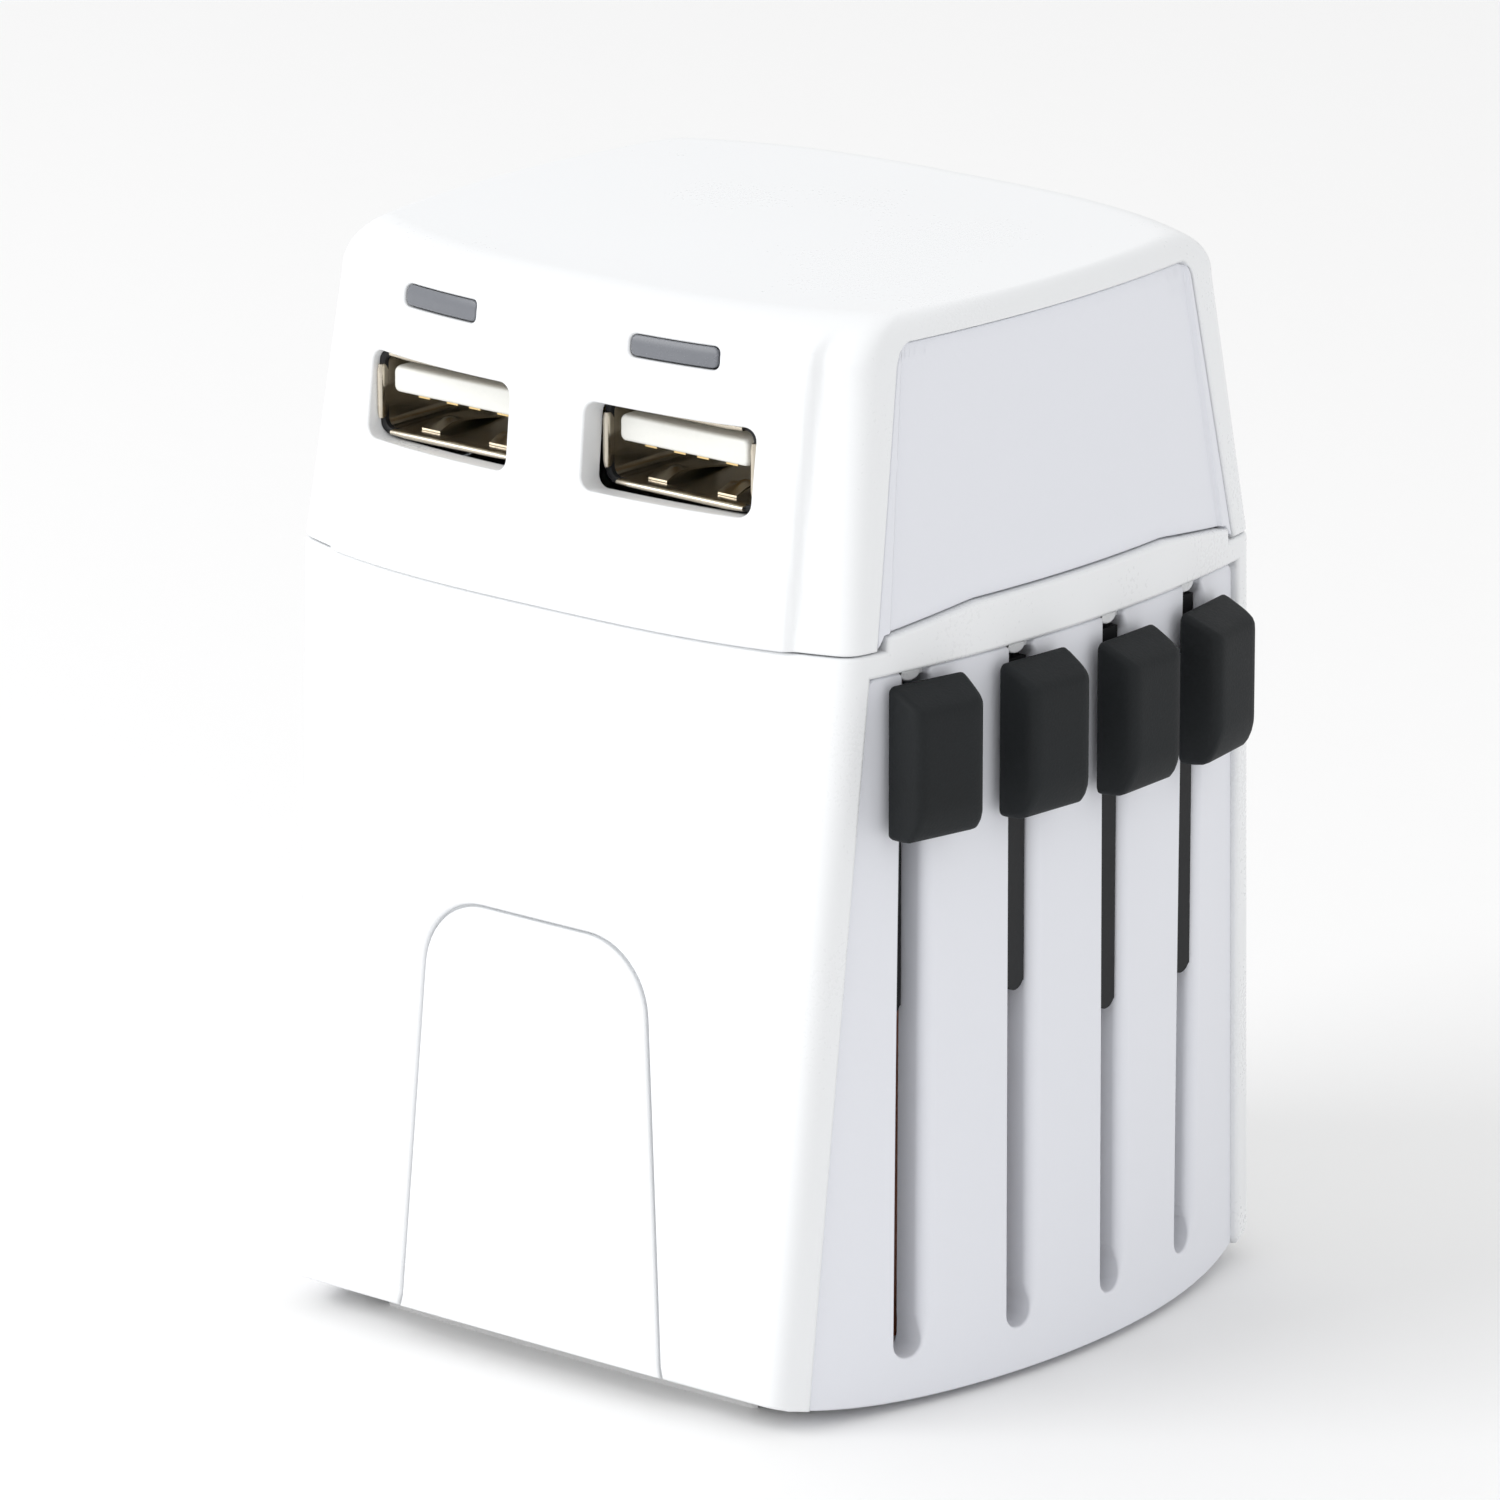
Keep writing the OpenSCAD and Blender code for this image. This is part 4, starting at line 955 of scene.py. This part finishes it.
FINISH = {
    "white_gloss": finish("white_gloss", (0.86, 0.872, 0.885), 0.3, tone=0.004, bump=0.012, spread=0.05),
    "white_panel": finish("white_panel", (0.8, 0.813, 0.862), 0.42, tone=0.006, bump=0.03, spread=0.05),
    "white_inner": finish("white_inner", (0.8, 0.8, 0.8), 0.5, tone=0.02, bump=0.15),
    "black_button": finish("black_button", (0.011, 0.013, 0.0145), 0.62, tone=0.35, grain=5200,
                           bump=0.5, spread=0.1, Specular_IOR_Level=0.22),
    "black_inner": finish("black_inner", (0.012, 0.0125, 0.014), 0.5, tone=0.15, bump=0.2,
                          Specular_IOR_Level=0.25),
    "nickel": finish("nickel", (0.62, 0.575, 0.5), 0.24, 1.0, tone=0.1, stretch=(1, 0.2, 1),
                     warm=(1.0, 0.96, 0.88)),
    "brass": finish("brass", (0.75, 0.56, 0.27), 0.28, 1.0, tone=0.08, stretch=(1, 1, 0.1)),
    "copper": finish("copper", (0.55, 0.24, 0.16), 0.4, 1.0, tone=0.12, stretch=(1, 0.2, 1)),
    "steel": finish("steel", (0.6, 0.61, 0.62), 0.3, 1.0, tone=0.06, stretch=(1, 1, 0.08)),
    "ceramic": finish("ceramic", (0.83, 0.82, 0.77), 0.22, tone=0.03, bump=0.08),
    "grey_window": finish("grey_window", (0.22, 0.23, 0.255), 0.25, tone=0.03, bump=0.03,
                          Transmission_Weight=0.2, IOR=1.46),
    "board_green": banded(finish("board_green", (0.02, 0.16, 0.07), 0.35, tone=0.12), "X", 260,
                          (0.05, 0.3, 0.12), 0.8),
    "winding_tape": banded(finish("winding_tape", (0.8, 0.6, 0.08), 0.4, tone=0.06), "Z", 150,
                           (0.6, 0.4, 0.05), 0.7),
    "capacitor_sleeve": banded(finish("capacitor_sleeve", (0.02, 0.03, 0.1), 0.25, tone=0.1), "X", 40,
                               (0.5, 0.52, 0.58), 0.6),
    "tongue_white": finish("tongue_white", (0.84, 0.84, 0.8), 0.35, tone=0.03, bump=0.12),
}
for part in frame["record"]["subparts"]:
    slots = frame["nodes"][part["node"]].data.materials
    slots.clear()
    slots.append(FINISH[part["material_slot"]])

# ---------------------------------------------------------------- what rides where
HOUSING = (
    (shell, "white_gloss", ["lower_shell"]), (slider, "white_panel", ["slider_panel"]),
    (left_panel, "white_panel", ["left_panel"]), (arches[0], "white_gloss", ["front_arch_cover"]),
    (arches[1], "white_gloss", ["rear_arch_cover"]),
    *((o, "white_gloss", []) for o in stops + housing_floors),
)
MODULE = (
    (cap, "white_gloss", ["cap_shell"]), (cap_panels[0], "white_panel", ["cap_right_panel"]),
    (cap_panels[1], "white_panel", ["cap_left_panel"]),
    *((o, "white_gloss", []) for o in cap_floors),
    (windows[0], "grey_window", ["left_light_window"]),
    (windows[1], "grey_window", ["right_light_window"]),
    (ports[0], "nickel", ["left_usb_shell"]), (ports[1], "nickel", ["right_usb_shell"]),
    (tongues[0], "tongue_white", ["left_usb_tongue"]), (tongues[1], "tongue_white", ["right_usb_tongue"]),
)
rows = [(*row, "housing") for row in HOUSING] + [(*row, "usb_module") for row in MODULE]
rows += [(b, "black_button", [n + "_button"], n + "_plug") for b, n in zip(buttons, PLUGS)]
for obj, slot, nodes, body in rows:
    obj.data.materials.append(FINISH[slot])
    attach(obj, body)
    if nodes:
        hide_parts(*nodes)
# the ports' second material paints their mouths black as painted shade
for port in ports:
    port.data.materials.append(FINISH["black_inner"])

# the visible CAD pins, blades and plates get softened edges
for node, width in (("uk_pins", 0.3), ("uk_earth_pin", 0.3), ("us_blades", 0.18), ("au_blades", 0.18),
                    ("module_blades", 0.18), ("base_plate", 0.2), ("socket_face", 0.2)):
    o = frame["nodes"][node]
    weld = o.modifiers.new("weld", "WELD")
    weld.merge_threshold = 1e-6
    bevel = o.modifiers.new("bevel", "BEVEL")
    bevel.width, bevel.segments = width * MM, 2
    bevel.limit_method, bevel.angle_limit = "ANGLE", math.radians(40)

# ---------------------------------------------------------------- stage
floor_mesh = bpy.data.meshes.new("floor")
bm = bmesh.new()
bmesh.ops.create_grid(bm, x_segments=2, y_segments=2, size=4)
bm.to_mesh(floor_mesh)
bm.free()
floor = bpy.data.objects.new("floor", floor_mesh)
bpy.context.scene.collection.objects.link(floor)
floor.data.materials.append(
    finish("floor_white", (0.93, 0.93, 0.93), 0.7, tone=0.002, bump=0.0, grain=200.0))
world = bpy.data.worlds.new("world")
bpy.context.scene.world = world
world.use_nodes = True
sky = world.node_tree.nodes["Background"]
sky.inputs["Color"].default_value, sky.inputs["Strength"].default_value = (1, 1, 1, 1), 0.88
bpy.context.scene.view_settings.view_transform = "Standard"


def area_light(name, place, aim, size, power):
    data = bpy.data.lights.new(name, "AREA")
    data.size, data.energy = size, power
    o = bpy.data.objects.new(name, data)
    bpy.context.scene.collection.objects.link(o)
    o.location = place
    o.rotation_mode = "QUATERNION"
    o.rotation_quaternion = (Vector(aim) - Vector(place)).to_track_quat("-Z", "Y")
    return o


area_light("key", (-0.35, -0.6, 0.45), (0, 0, 0.04), 0.5, 3.0)
